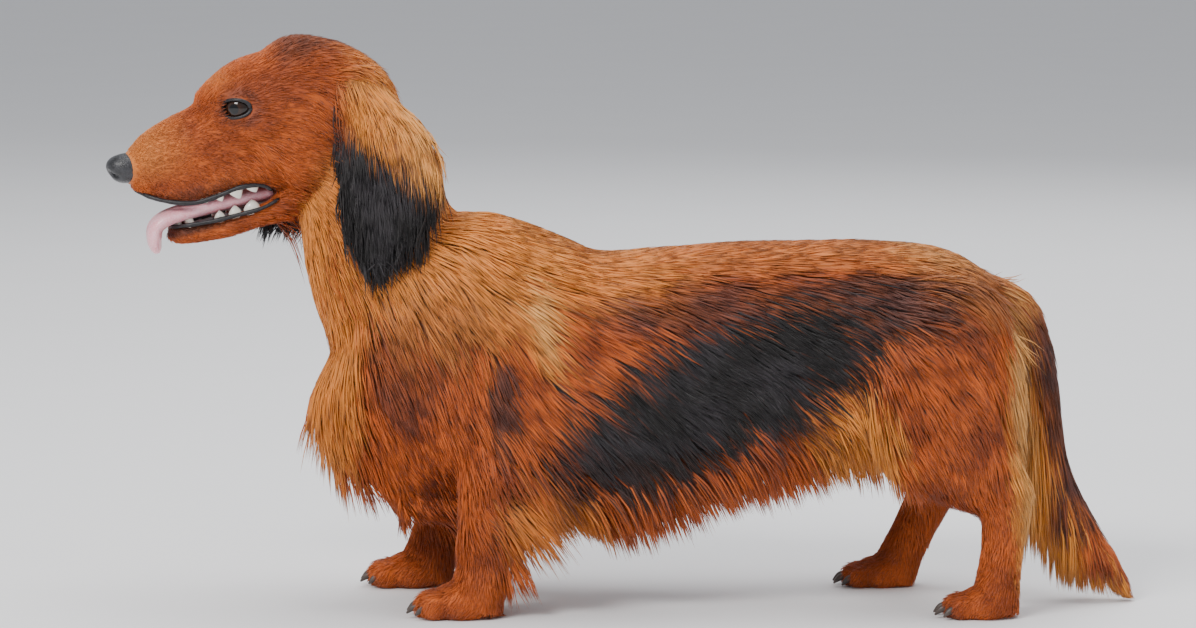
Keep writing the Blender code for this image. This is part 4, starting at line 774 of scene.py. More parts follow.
def ear_comb_rows(side):
    """The ear's rows of the comb in the world's frame."""
    root, turn = ear_frame(side)
    local = np.array(EAR_COMB, float)
    rows = np.hstack([local[:, :3] @ turn.T + root, local[:, 3:6] @ turn.T, local[:, 6:]])
    return rows.astype(np.float32)


def combed(points, rows):
    """The comb at the points: its rows weighted by one over the distance to the power of 3.5."""
    made = []
    for part in np.array_split(points.astype(np.float32), max(1, len(points) // 4000)):
        gap = np.linalg.norm(part[:, None] - rows[None, :, :3], axis=2) + 4.0
        weight = gap ** -3.5
        made.append(weight @ rows[:, 3:] / weight.sum(1, keepdims=True))
    return np.vstack(made).astype(float)


# Markings

# Rows: X, Z, half-length, half-height, tilt in degrees, strength
DARK_BLOTS = [(74, 143, 108, 44, 25, 1.0), (20, 104, 60, 34, 10, 0.95), (150, 190, 66, 26, 12, 0.75),
              (81, 196, 90, 18, 3, 0.6), (-136, 150, 24, 34, 0, 0.42), (-72, 128, 9, 30, 0, 0.7),
              (-108, 176, 30, 26, 0, 0.25), (216, 195, 36, 26, 0, 0.3)]
GOLD_BLOTS = [(-44, 182, 14, 34, 8, 0.9), (-100, 214, 84, 50, 10, 0.8), (-10, 214, 60, 22, -4, 0.6),
              (-184, 144, 22, 70, 0, 0.7), (-203, 240, 22, 60, 8, 0.8),
              (148, 106, 28, 34, 0, 0.9), (253, 131, 12, 58, 0, 0.8),
              (258, 80, 14, 70, 0, 1.0), (-40, 54, 34, 25, 0, 0.5), (-160, 290, 56, 80, 0, 0.7)]
CREAM_BLOTS = [(225, 214, 60, 26, -20, 0.3), (253, 150, 9, 60, 0, 0.6), (-46, 188, 8, 26, 8, 0.6),
               (258, 86, 8, 50, 0, 0.5)]


def blot_share(x, z, blots, shift):
    """How deep a place lies in the blots, one inside and falling to zero over their edges."""
    share = np.zeros(len(x))
    for cx, cz, rx, rz, tilt, strength in blots:
        c, s = math.cos(math.radians(tilt)), math.sin(math.radians(tilt))
        a, b = ((x - cx) * c + (z - cz) * s) / rx, ((z - cz) * c - (x - cx) * s) / rz
        reach = np.sqrt(a * a + b * b) + shift
        share = np.maximum(share, strength * np.clip((1.18 - reach) / 0.36, 0, 1))
    return share


def ripple(points, wave, seed):
    """A smooth number from -1 to 1 at each place: sines along three crossed directions."""
    rng = np.random.default_rng(seed)
    total = np.zeros(len(points))
    for _ in range(5):
        way = unit(rng.normal(size=3)) * (2 * np.pi / wave) * rng.uniform(0.6, 1.7)
        total += np.sin(points @ way + rng.uniform(0, 6.28))
    return total / 3.2


def body_marks(points, normals, jitter):
    """The shares of dark, gold and cream hair at places of the body."""
    x, y, z = points.T
    shift = 0.10 * ripple(points, 26, 3) + jitter
    dark = blot_share(x, z, DARK_BLOTS, shift)
    gold = blot_share(x, z, GOLD_BLOTS, shift)
    cream = blot_share(x, z, CREAM_BLOTS, shift)
    ridge = np.clip((normals[:, 2] - 0.72) / 0.2, 0, 1) * np.clip((z - 205) / 15, 0, 1)
    dark *= 1 - 0.75 * ridge
    gold = np.maximum(gold, 0.35 * ridge)
    inner = np.clip((34 - np.abs(y)) / 8, 0, 1) * np.clip((120 - z) / 20, 0, 1)
    dark *= 1 - 0.5 * inner
    tail = np.clip((x - 252) / 8, 0, 1) * (np.abs(y) < 24)
    rear = np.clip(normals[:, 0] * 1.2 + 0.25 + shift, 0, 1)
    tail_dark = tail * rear * np.clip((z - 34) / 16, 0, 1) * np.clip((196 - z) / 20, 0, 1)
    dark = np.maximum(dark * (1 - tail), 0.8 * tail_dark)
    gold = np.where(tail > 0.5, np.maximum(gold, 1 - rear), gold)
    return dark, gold * (1 - dark), cream * (1 - dark)


def head_marks(points, jitter):
    """The same on the head, from places in its frame."""
    f, y, u = in_head(points).T
    shift = 0.1 * ripple(points, 14, 5) + jitter
    top = np.clip((u - 14 + 10 * shift) / 10, 0, 1) * np.clip((-28 - f) / 14, 0, 1)
    top = top * np.clip((96 + f) / 12, 0, 1)
    lip = np.clip((-37 - u) / 6, 0, 1) * np.clip((f - 6) / 14, 0, 1) * np.clip((u + 62) / 4, 0, 1)
    from_ring = np.abs(np.hypot(f + 1.5, u - 0.5) - 10)
    rim = np.clip((5.2 + 5 * shift - from_ring) / 5, 0, 1) * (np.abs(y) > 14)
    chin = np.clip((u + 72) / 4, 0, 1) * np.clip((-60 - u) / 3, 0, 1) * np.clip((f - 8) / 30, 0, 1)
    dark = np.clip(0.55 * top + 0.35 * lip + 0.45 * rim + 0.75 * chin, 0, 1)
    # Painted highlight: the top of the brow over each eye is made lighter gold.
    brow = np.exp(-((f - 8) / 10) ** 2 - ((u - 24) / 8) ** 2)
    muzzle = np.clip((f - 30) / 30, 0, 1) * np.clip((u + 34) / 20, 0, 1)
    throat = np.clip((-30 - f) / 30, 0, 1) * np.clip((-40 - u) / 14, 0, 1)
    gold = np.clip(0.25 * brow + 0.3 * muzzle + 0.7 * throat, 0, 1)
    return dark, gold * (1 - dark), 0.12 * muzzle * (1 - dark)


def ear_marks(points, side, jitter):
    """The same on an ear: blue-black below a slanting line, gold above it."""
    back, _, down = in_ear(points, side).T
    shift = 0.12 * ripple(points, 18, 7) + jitter
    line = (down - 44 - (back + 7) * 0.66) / 14 + 2.0 * shift
    dark = np.clip(line + 0.5, 0, 1)
    streak = np.clip(ripple(points, 9, 9) * 1.6 - 0.7, 0, 1) * np.clip((back - 5) / 20, 0, 1)
    dark = np.maximum(dark, 0.7 * streak)
    roll = np.exp(-((back + 14) / 9) ** 2)
    gold = np.clip(1.1 - dark - 0.7 * roll, 0, 1) * np.clip((back + 16) / 18, 0.2, 1)
    cream = 0.4 * gold * np.clip((back - 20) / 25, 0, 1)
    return dark, gold, cream


def skin_marks(points, normals, zones, jitter=0.0):
    """Dark, gold and cream for every place, by its zone."""
    marks = np.stack(body_marks(points, normals, jitter), -1)
    head = np.stack(head_marks(points, jitter), -1)
    away = in_head(points)
    share = np.clip((away[:, 0] + 96) / 26, 0, 1)[:, None]
    share = np.where(zones[:, None] == ZONE["head"], share, 0)
    marks = marks * (1 - share) + head * share
    for side in (LEFT, RIGHT):
        ear = zones == ZONE["ear_" + SIDE_NAMES[side]]
        if ear.any():
            part = jitter[ear] if np.ndim(jitter) else jitter
            marks[ear] = np.stack(ear_marks(points[ear], side, part), -1)
    return np.clip(marks, 0, 1)


# Zones of the skin

ZONE = {name: i for i, name in enumerate(
    ("side_left", "side_right", "neck", "head", "ear_left", "ear_right", "belly", "thighs",
     "legs", "feet", "tail", "back"))}


def ear_depth(points, side):
    """How far out places lie in an ear's leaf: one on its surface, less inside it."""
    back, out, down = in_ear(points, side).T
    rows = np.array(EAR_RINGS, float) * [EAR_CORE[0], EAR_CORE[0], EAR_CORE[1], 1]
    down = down / EAR_LENGTH[side]
    middle, half, thick = (np.interp(down, rows[:, 0], rows[:, k]) for k in (1, 2, 3))
    c = (back - middle) / np.maximum(half, 1)
    bow = EAR_CUP * (1 - np.clip(c * c, 0, 1)) * half / (max(r[2] for r in EAR_RINGS) * EAR_CORE[1])
    value = np.hypot(c / 0.82, (out - bow) / (thick + 2.2))
    return np.where((down < 4) | (down > rows[-1, 0] + 3), 9.0, value)


def before_neck(x, z):
    """How far places lie behind the plane between head and neck: below zero on the head."""
    return 0.81 * (x + 181) - 0.586 * (z - 289)


def find_zones(points):
    """The zone of each place of the skin, from where it lies."""
    x, y, z = points.T
    zones = np.where(y < 0, ZONE["side_left"], ZONE["side_right"])
    zones[(np.abs(y) < 34) & (z > 205) & (x > -118)] = ZONE["back"]
    zones[(x > 158) & (z < 232)] = ZONE["thighs"]
    zones[(z < 96 + 0.16 * (x + 60)) & (np.abs(y) < 58) & (x < 160)] = ZONE["belly"]
    edge = 0.571 * (x + 128) - 0.821 * (z - 227)
    zones[((edge < 0) & (x < -60)) | (x < -158)] = ZONE["neck"]
    for kind, ahead, high in (("fore", FORELEG_X, 104), ("hind", HOCK_X, 92)):
        for side in (LEFT, RIGHT):
            middle = ahead[side]
            near = (y * side > 24) & (z < high) & (np.abs(x - middle) < 46)
            if kind == "fore":
                near &= (np.hypot((x - middle) / 30, (np.abs(y) - 58) / 24) < 1.3) | (z < 40)
            zones[near] = ZONE["legs"]
    zones[(z < 27) & (np.abs(y) > 24) & (x < 262)] = ZONE["feet"]
    zones[(x > 238) & (np.abs(y) < 22) & (z < 206) & ((x > 249) | (np.abs(y) < 14))] = ZONE["tail"]
    zones[(before_neck(x, z) < -4) & (in_head(points)[:, 0] > -100)] = ZONE["head"]
    for side in (LEFT, RIGHT):
        zones[ear_depth(points, side) < 1.45] = ZONE["ear_" + SIDE_NAMES[side]]
    return zones


# Growing the coat

def one_side(local):
    """Places of the head's frame, all brought to the side where Y is above zero."""
    return np.abs(local) * [0, 1, 0] + local * [1, 0, 1]


def bare(points):
    """True where the face is bare: within the lids, on the nose leather and in the mouth."""
    local = in_head(points)
    places = one_side(local)
    eye = np.linalg.norm(places - np.array(EYE_CENTRE), axis=1) < LID_RADIUS + 0.6
    ahead = (places - np.array(EYE_CENTRE)) @ facing(EYE_GAZE)
    eye &= np.hypot(ahead[:, 1] / (LID_OPENING[0] / 2 + 1.2), (ahead[:, 2] + 0.12 * ahead[:, 1])
                    / (LID_OPENING[1] / 2 + 1.6)) < 1.0
    nose = np.linalg.norm((local - np.array(NOSE_CENTRE)) / (np.array(NOSE_RADII) + 1.2), axis=1) < 1.0
    mouth = (profile_value(local, MOUTH, 0.5) < 1) | (profile_value(local, JAW_HOLLOW, 0.5) < 1)
    return eye | nose | mouth


def spread_roots(skin, wanted, count, rng):
    """Roots over the triangles of some zones, as many on each as its area and the comb ask."""
    corners = skin["triangles"][np.isin(skin["face_zones"], [ZONE[w] for w in wanted])]
    a, b, c = (skin["points"][corners[:, k]] for k in range(3))
    area = 0.5 * np.linalg.norm(np.cross(b - a, c - a), axis=1)
    middle = (a + b + c) / 3
    area = np.where(bare(middle), 0, area)
    chance = area * skin["want"][corners].mean(1)
    edges = np.cumsum(chance / chance.sum())
    even = (np.arange(count) + rng.random(count)) / count
    pick = np.searchsorted(edges, even).clip(0, len(corners) - 1)
    s, t = np.sqrt(rng.random(count))[:, None], rng.random(count)[:, None]
    share = np.stack([1 - s, s * (1 - t), s * t], 1)
    chosen = corners[pick]
    roots = (skin["points"][chosen] * share).sum(1)
    normals = unit((skin["normals"][chosen] * share).sum(1))
    keep = (roots[:, 2] > 0.8) & ~bare(roots)
    return roots[keep], normals[keep]


def strand_paths(roots, normals, comb, grid, rings, rng):
    """Each tuft's path: it leaves its sunk root along the lie and rises to its tip's height.

    At each ring the heading turns by gravity, by a wave shared with its neighbours and by a
    little of its own, and the point is moved out along the nearest skin's normal to its
    share of the lift, or drawn down to it where the hair lies. Hair with much lift keeps the
    outward part of its lie and isn't drawn down, so that fringes hang free.
    """
    lie, length, lift = unit(comb[:, :3]), comb[:, 3].copy(), comb[:, 4]
    free = comb[:, 6]
    count = len(roots)
    length *= rng.uniform(0.72, 1.22, count)
    hang = np.clip((lift - 4.5) / 3, 0, 1)
    out_of = dot(lie, normals)
    flat = unit(lie - normals * (out_of * np.where(out_of > 0, 1 - hang, 1))[:, None])
    side = np.cross(normals, flat)
    swing = 0.20 * ripple(roots, 34, 21) + 0.10 * ripple(roots, 13, 22) + rng.normal(0, 0.06, count)
    flat = unit(flat + side * swing[:, None])
    heading = unit(flat + normals * 0.12)
    base = rng.uniform(0.05, 0.6, count) * lift * 0.8
    point = roots - normals * 0.5 - flat * 0.8
    path, out = [point], [normals]
    wave = ripple(roots, 22, 23) * 0.16 + rng.normal(0, 0.07, count)
    outward_now = normals
    for k in range(1, rings + 1):
        turn = wave * math.cos(k * 1.9)
        heading = unit(heading + np.cross(outward_now, heading) * turn[:, None]
                       + np.outer(free * (0.25 + 0.5 * k / rings), [0, 0, -1]))
        point = point + heading * (length / rings)[:, None]
        near, normal, found = grid.near(point)
        height = dot(point - near, normal)
        need = base + lift * (k / rings) * 0.55
        over = np.clip(height - need - 1.5, 0, None) * (1 - free) * (1 - hang)
        rise = np.clip(need - height, 0, 9) - np.clip(over, 0, 3.5)
        push = np.where(found & (np.abs(height) < 16), rise, 0)
        point = point + normal * push[:, None]
        point[:, 2] = np.maximum(point[:, 2], 0.7)
        down = np.minimum(dot(heading, normal), 0) * (found & (height < need + 2))
        heading = unit(heading - normal * down[:, None])
        outward_now = np.where(found[:, None], unit(outward_now * 0.4 + normal * 0.6), outward_now)
        path.append(point)
        out.append(outward_now)
    return np.stack(path, 1), np.stack(out, 1)


def clumped(paths, roots, normals, size, pull, seed):
    """The paths drawn together in bunches towards their tips.

    A bunch is every tuft whose root falls in one cell of a warped lattice. Each of its points
    moves towards the bunch's mean point, by more at the tip.
    """
    warp = np.stack([ripple(roots, size * 5, seed + k) for k in range(3)], 1) * size * 0.8
    cells = np.floor((roots + warp) / size).astype(int)
    key = np.column_stack([cells, np.sign(normals[:, 1])])
    _, member = np.unique(key, axis=0, return_inverse=True)
    member = member.ravel()
    number = np.bincount(member)
    flat = paths.reshape(len(paths), -1)
    mean = np.stack([np.bincount(member, flat[:, k]) for k in range(flat.shape[1])], 1) / number[:, None]
    mean = mean[member].reshape(paths.shape)
    share = (np.linspace(0, 1, paths.shape[1]) ** 1.3)[None, :, None] * pull[:, None, None]
    return paths + (mean - paths) * share


def strand_mesh(name, paths, out, width, depth, shape):
    """Closed three-cornered tubes along the paths, ridged outwards, that end in a point.

    A ring's corners lie half a width to each side, a third of the depth under the path, and
    two thirds of it over the path.
    """
    count, number = paths.shape[0], paths.shape[1] - 1
    ahead = unit(np.gradient(paths, axis=1))
    across = unit(np.cross(ahead, out))
    over = np.cross(across, ahead)
    half = (width[:, None] * np.array(shape)[None] / 2)[..., None]
    high = (depth[:, None] * np.array(shape)[None] ** 0.5)[..., None]
    body, tip = paths[:, :number], paths[:, number]
    left = body + across[:, :number] * half - over[:, :number] * high * 0.35
    ridge = body + over[:, :number] * high * 0.65
    right = body - across[:, :number] * half - over[:, :number] * high * 0.35
    rings = np.stack([left, ridge, right], 2).reshape(count, number * 3, 3)
    points = np.concatenate([rings, tip[:, None]], 1)
    points[..., 2] = np.maximum(points[..., 2], 0.3)
    i, j = np.meshgrid(np.arange(number - 1), np.arange(3), indexing="ij")
    k = (j + 1) % 3
    quads = np.stack([i * 3 + j, i * 3 + k, (i + 1) * 3 + k, (i + 1) * 3 + j], -1).reshape(-1, 4)
    last = (number - 1) * 3
    ends = np.array([(2, 1, 0)] + [(last + m, last + (m + 1) % 3, number * 3) for m in range(3)])
    first = (np.arange(count) * (number * 3 + 1))[:, None, None]
    quads, ends = (quads[None] + first).reshape(-1, 4), (ends[None] + first).reshape(-1, 3)
    obj = put_mesh(name, points.reshape(-1, 3), quads, ends)
    run = np.concatenate([np.repeat(np.arange(number) / number, 3), [1.0]])
    side = np.concatenate([np.tile([0.0, 0.5, 1.0], number), [0.5]])
    return obj, np.tile(run, count), np.tile(side, count), number * 3 + 1


def unwrap(roots):
    """Where roots lie on an unwrap of the skin: round a trunk's or leg's axis, and along it."""
    x, y, z = roots.T
    f, v, u = in_head(roots).T
    spine = np.interp(x, [-184, -105, 25, 155, 250, 300], [158, 156, 157, 171, 160, 60])
    around, along = np.arctan2(y, z - spine), (x + 330) / 660
    leg = (z < 96) & (np.abs(y) > 24) & (x < 262)
    middle = np.where(x < 60, np.where(y < 0, FORELEG_X[LEFT], FORELEG_X[RIGHT]),
                      np.where(y < 0, HOCK_X[LEFT], HOCK_X[RIGHT] + HIND_STEP[RIGHT]))
    around = np.where(leg, np.arctan2(np.abs(y) - 58, x - middle), around)
    along = np.where(leg, z / 100 * 0.2 + np.where(x < 60, 0, 0.25) + np.where(y < 0, 0, 0.5), along)
    head = before_neck(x, z) < 0
    around = np.where(head, np.arctan2(v, u + 30), around)
    along = np.where(head, (f + 110) / 210, along)
    return np.stack([0.02 + 0.96 * (around / (2 * np.pi) + 0.5), 0.02 + 0.96 * np.clip(along, 0, 1)], 1)


# Coat pieces: their zones, how many tufts, the rings of a tuft, and the slot
COATS = {
    "coat_side_left": (("side_left",), 8300, 4, "red_coat"),
    "coat_side_right": (("side_right",), 6900, 4, "red_coat"),
    "coat_back": (("back",), 6700, 3, "red_coat"),
    "coat_chest": (("neck",), 8000, 4, "gold_coat"),
    "coat_belly": (("belly",), 5200, 4, "gold_coat"),
    "coat_thighs": (("thighs",), 8600, 3, "red_coat"),
    "coat_legs": (("legs",), 8000, 3, "red_coat"),
    "coat_feet": (("feet",), 8500, 2, "red_coat"),
    "coat_tail": (("tail",), 5900, 4, "gold_coat"),
    "coat_head": (("head",), 15500, 2, "red_coat"),
    "coat_ears": (("ear_left", "ear_right"), 6900, 4, "dark_coat"),
}
SHAPES = {2: (0.9, 0.8), 3: (0.75, 1.0, 0.65), 4: (0.7, 1.0, 0.85, 0.5)}


def grow_coat(name, skin, sizes):
    """One piece of the coat: tufts over its zones, bunched, with their marks and UV maps."""
    wanted, count, rings, slot = COATS[name]
    rng = np.random.default_rng(sum(map(ord, name)))
    roots, normals = spread_roots(skin, wanted, int(count * sizes.density), rng)
    if name == "coat_ears":
        comb = np.empty((len(roots), 7))
        for side in (LEFT, RIGHT):
            mine = roots[:, 1] * side > 0
            comb[mine] = combed(roots[mine], ear_comb_rows(side))
    else:
        comb = combed(roots, skin["comb"])
    comb[:, 3] *= sizes.length
    paths, out = strand_paths(roots, normals, comb, skin["grid"], rings, rng)
    pull = np.clip((comb[:, 3] - 8) / 44, 0.1, 0.6) * rng.uniform(0.7, 1.0, len(roots))
    paths = clumped(paths, roots, normals, 7.5 if rings > 2 else 3.0, pull, 41)
    width = comb[:, 5] * rng.uniform(0.55, 1.1, len(roots)) * sizes.width
    depth = np.minimum(width * 0.5, 0.8)
    obj, run, side, each = strand_mesh(name, paths, out, width, depth, SHAPES[rings])
    jitter = rng.normal(0, 0.15 if rings > 2 else 0.08, len(roots))
    zones = np.full(len(roots), ZONE[wanted[0]])
    if name == "coat_ears":
        zones = np.where(roots[:, 1] < 0, ZONE["ear_left"], ZONE["ear_right"])
    marks = skin_marks(paths[:, rings // 2 + 1], normals, zones, jitter)
    put_colour(obj, "marks", np.repeat(np.column_stack([marks, np.ones(len(roots))]), each, axis=0))
    put_number(obj, "along", run)
    put_number(obj, "tint", np.repeat(np.clip(rng.normal(0.5, 0.2, len(roots)), 0, 1), each))
    place = np.repeat(unwrap(roots), each, axis=0)
    put_uv(obj, "OFBake", place + np.column_stack([side - 0.5, run - 0.5]) * 0.003)
    shift = np.repeat(rng.random(len(roots)) * 40, each)
    put_uv(obj, "Strand", np.column_stack([side + shift, run + shift]))
    return obj


# The face's pieces

def round_path(path, radius, sides=12, closed=False, flat=1.0):
    """A tube round a path of the head's frame: rings of circles across its tangent."""
    path, radius = np.asarray(path, float), np.asarray(radius, float)
    tangent = np.roll(path, -1, 0) - np.roll(path, 1, 0) if closed else np.gradient(path, axis=0)
    tangent = unit(tangent)
    upward = unit(np.array([0.0, 0.0, 1.0]) - tangent * tangent[:, 2:3] + 1e-6)
    lateral = np.cross(upward, tangent)
    angle = 2 * np.pi * np.arange(sides) / sides
    return path[:, None] + (lateral[:, None] * np.cos(angle)[None, :, None] * flat
                            + upward[:, None] * np.sin(angle)[None, :, None]) * radius[:, None, None]


def looped_tube(rings):
    """A tube whose last ring joins its first."""
    count, sides = rings.shape[:2]
    i, j = np.meshgrid(np.arange(count), np.arange(sides), indexing="ij")
    n, k = (i + 1) % count, (j + 1) % sides
    quads = np.stack([i * sides + j, i * sides + k, n * sides + k, n * sides + j], -1)
    return rings.reshape(-1, 3), quads.reshape(-1, 4)


def build_eye(side):
    """An eye whose poles lie on its gaze: a sphere with the cornea swelling at the front."""
    rings, sides = 40, 48
    points, quads, ends = ball((0, 0, 0), (1, 1, 1), None, rings, sides)
    angle = np.arccos(np.clip(points[:, 0] / np.maximum(np.linalg.norm(points, axis=1), 1e-9), -1, 1))
    points = points * (EYE_RADIUS + 0.5 * np.exp(-(angle / 0.55) ** 4))[:, None]
    part = (points @ facing(EYE_GAZE).T + np.array(EYE_CENTRE), quads, ends)
    points, *faces = moved(part, side, WORLD)
    obj = put_mesh(f"eyeball_{SIDE_NAMES[side]}", points, *outward(points, faces))
    put_number(obj, "gaze", angle)
    return obj


def build_rims(side):
    """The dark rim of the lids: a flattened tube on the lids' sphere round their opening."""
    a, b = lid_outline(56)
    depth = np.sqrt(np.maximum((LID_RADIUS - 0.9) ** 2 - a * a - b * b, 1))
    path = np.stack([depth, a, b], -1) @ facing(EYE_GAZE).T + np.array(EYE_CENTRE)
    thick = 1.0 + 0.35 * np.cos(2 * np.pi * np.arange(56) / 56) ** 2
    points, quads = moved(looped_tube(round_path(path, thick, 10, True)), side, WORLD)
    return put_mesh(f"lid_rim_{SIDE_NAMES[side]}", points, *outward(points, [quads]))


def build_nose():
    """The nose leather: an ellipsoid with nostrils pressed in and a groove down its front."""
    points, quads, ends = ball((0, 0, 0), (1, 1, 1), None, 56, 80)
    x, y, z = points.T
    shape = np.sign(points) * np.abs(points) ** 0.84 * np.array(NOSE_RADII)
    shape[:, 2] *= 1 + 0.10 * y * y
    for side in (LEFT, RIGHT):
        away = shape - (np.array(NOSTRIL_AT) - np.array(NOSE_CENTRE)) * [1, side, 1]
        bend = away[:, 2] + 0.10 * (shape[:, 1] * side - 5.4) ** 2
        hole = np.exp(-(away[:, 1] / 3.1) ** 2 - (bend / 2.0) ** 2 - (away[:, 0] / 6) ** 2)
        shape -= unit(points) * (3.6 * hole)[:, None]
        across, above = (shape[:, 1] * side - 9.2) / 2.6, (shape[:, 2] + 2.6) / 1.3
        slit = np.exp(-across ** 2 - above ** 2) * (x > -0.2)
        shape -= unit(points) * (1.5 * slit)[:, None]
    groove = np.exp(-(shape[:, 1] / 0.8) ** 2) * np.clip((x - 0.2) * 2, 0, 1) * (z < 0.45)
    shape -= unit(points) * (0.9 * groove)[:, None]
    shape[:, 0] += 0.22 * shape[:, 2] + 0.6
    points, *faces = moved((shape + np.array(NOSE_CENTRE), quads, ends), 1, WORLD)
    return put_mesh("nose_leather", points, *outward(points, faces))


def build_lips():
    """The black rims of the upper and lower lips, as tubes along them that taper at both ends."""
    parts = []
    for side in (LEFT, RIGHT):
        for rows, radius in ((UPPER_LIP, LIP_RADIUS), (LOWER_LIP, LIP_RADIUS * 0.92)):
            path = smooth_rows(rows, 6)
            share = np.linspace(0, 1, len(path))
            thick = radius * (0.55 + 0.45 * np.sin(np.pi * share) ** 0.5)
            thick = thick * (1 + 0.09 * np.sin(share * 31) + 0.05 * np.sin(share * 73))
            parts.append(moved(closed_tube(round_path(path, thick, 12)), side, WORLD))
    return put_mesh("lips", *merged(parts))


def build_teeth():
    """Upper and lower teeth: cones with rounded sides that bend back a little to their points."""
    parts = []
    rise = np.array([-1.2, -0.3, 0.0, 0.0, 0.0, 0.0, 0.0])
    share = np.array([-0.4, 0.0, 0.22, 0.45, 0.68, 0.88, 1.0])
    scale = np.array([1.0, 1.05, 1.0, 0.84, 0.6, 0.32, 0.06])
    angle = 2 * np.pi * np.arange(14) / 14
    for side in (LEFT, RIGHT):
        rows = [(f, y - 2.2, u - 1.5, -h, l * 0.9, t * 0.8) for f, y, u, h, l, t in UPPER_TEETH]
        rows += list(LOWER_TEETH)
        for f, y, u, height, length, thick in rows:
            lift = share * height + np.sign(height) * rise
            middle = np.stack([f - length * 0.25 * share.clip(0) ** 2, y + 0 * share, u + lift], -1)
            ring = np.stack([np.cos(angle) * length, np.sin(angle) * thick, 0 * angle], -1)
            rings = middle[:, None] + ring[None] * scale[:, None, None]
            parts.append(moved(closed_tube(rings), side, WORLD))
    return put_mesh("teeth", *merged(parts))


def build_tongue():
    """The tongue: its loft with a groove along its top, curling down over the front teeth."""
    rings = loft_rings(TONGUE, 6, 32)
    middle = rings.mean(1, keepdims=True)
    away = rings - middle
    groove = np.exp(-(away[..., 1:2] / 2.6) ** 2) * np.clip(away[..., 2:3] / 3.0, 0, 1)
    share = np.linspace(0, 1, len(rings))[:, None, None]
    rings = rings - unit(away) * groove * 1.5 * np.sin(np.pi * (0.2 + 0.7 * share))
    points, *faces = moved(closed_tube(rings), 1, WORLD)
    return put_mesh("tongue_blade", points, *outward(points, faces))


def build_claws():
    """The claws: tapering bent cones that leave each toe forward and down."""
    parts = []
    for kind in ("fore", "hind"):
        for side in (LEFT, RIGHT):
            for place, turn in toes(kind, side):
                ahead = np.array([-math.cos(turn), math.sin(turn) * 0.6, 0.0])
                root = place + ahead * 6.5 * PAW_SIZE[kind]
                rows = [(*(root + ahead * d - np.array([0, 0, h])), r, r * 1.15, 0, 2)
                        for d, h, r in CLAW]
                parts.append(moved(closed_tube(loft_rings(rows, 4, 10)), side))
    points, *faces = merged(parts)
    points[:, 2] = np.maximum(points[:, 2], 0.0)
    return put_mesh("claws", points, *faces)


# Finishes

class Value:
    """A node socket that takes part in sums: each operator adds a Math node."""

    def __init__(self, finish, socket):
        self.finish, self.socket = finish, socket

    def sum_of(self, operation, *terms):
        return self.finish.node("ShaderNodeMath", {"operation": operation}, dict(enumerate(terms)))

    def __add__(self, other):
        return self.sum_of("ADD", self, other)

    def __sub__(self, other):
        return self.sum_of("SUBTRACT", self, other)

    def __rsub__(self, other):
        return self.sum_of("SUBTRACT", other, self)

    def __mul__(self, other):
        return self.sum_of("MULTIPLY", self, other)

    __radd__, __rmul__ = __add__, __mul__

    def band(self, low, high):
        """Zero under low, one over high, smooth between them."""
        return self.finish.node("ShaderNodeMapRange", {"interpolation_type": "SMOOTHSTEP"},
                                {0: self, 1: low, 2: high, 3: 0.0, 4: 1.0})


class Finish:
    """A material being made: its Principled shader, with constants set on its own sockets."""

    def __init__(self, name, **constants):
        self.material = bpy.data.materials.new(name)
        self.material.use_nodes = True
        self.tree = self.material.node_tree
        self.shader = self.tree.nodes["Principled BSDF"]
        for socket, value in constants.items():
            self.feed(self.shader.inputs[socket.replace("_", " ")], value)

    def feed(self, socket, value):
        if isinstance(value, Value):
            self.tree.links.new(value.socket, socket)
        elif isinstance(value, tuple) and len(value) == 3 and socket.type == "RGBA":
            socket.default_value = (*value, 1.0)
        else:
            socket.default_value = value

    def node(self, kind, settings=None, feeds=None, out=0):
        """Adds a node: its settings first, then its sockets' values or links."""
        made = self.tree.nodes.new(kind)
        for key, value in (settings or {}).items():
            setattr(made, key, value)
        for key, value in (feeds or {}).items():
            self.feed(made.inputs[key], value)
        return Value(self, made.outputs[out])

    def mix(self, share, low, high, how="MIX"):
        return self.node("ShaderNodeMix", {"data_type": "RGBA", "blend_type": how},
                         {0: share, 6: low, 7: high}, 2)

    def attribute(self, name, out="Fac"):
        return self.node("ShaderNodeAttribute", {"attribute_name": name}, out=out)

    def places(self, scale, turn=(0.0, 0.0, 0.0)):
        """Object coordinates, turned and then stretched by the scale."""
        where = self.node("ShaderNodeTexCoord", out="Object")
        return self.node("ShaderNodeMapping", {"vector_type": "TEXTURE"},
                         {"Vector": where, "Rotation": turn, "Scale": scale})

    def noise(self, where, scale, detail=3.0, out="Fac"):
        links = {"Vector": where, "Scale": scale, "Detail": detail}
        return self.node("ShaderNodeTexNoise", {}, links, out)

    def bump(self, height, strength, distance):
        links = {"Height": height, "Strength": strength, "Distance": distance}
        made = self.node("ShaderNodeBump", {}, links)
        self.feed(self.shader.inputs["Normal"], made)

    def set(self, **links):
        for socket, value in links.items():
            self.feed(self.shader.inputs[socket.replace("_", " ")], value)
        return self.material


def hair_colour(finish, colours, tint):
    """Red hair, with gold, cream and dark hair over it by the marks, varied by the tint; the dark hair
    gets a painted blue-grey sheen in broad patches.
    """
    marks = finish.node("ShaderNodeSeparateColor", {}, {0: finish.attribute("marks", "Color")}, "Red")
    parts = marks.socket.node
    dark, gold, cream = (Value(finish, parts.outputs[k]) for k in range(3))
    broad = finish.noise(finish.places((1.0, 1.0, 1.0)), 38.0, 2.0).band(0.35, 0.68)
    red = finish.mix(broad, tuple(colours.red), tuple(colours.deep_red))
    colour = finish.mix(gold, red, tuple(colours.gold))
    colour = finish.mix(cream, colour, tuple(colours.cream))
    # Painted sheen: the black hair is mixed in broad patches with a blue-grey reflection colour.
    black = finish.mix(broad, tuple(colours.dark), tuple(colours.painted_sheen))
    colour = finish.mix(dark, colour, black)
    return finish.mix(0.55, colour, finish.mix(tint, (0.50, 0.47, 0.45), (1.05, 1.05, 1.05)), "MULTIPLY")


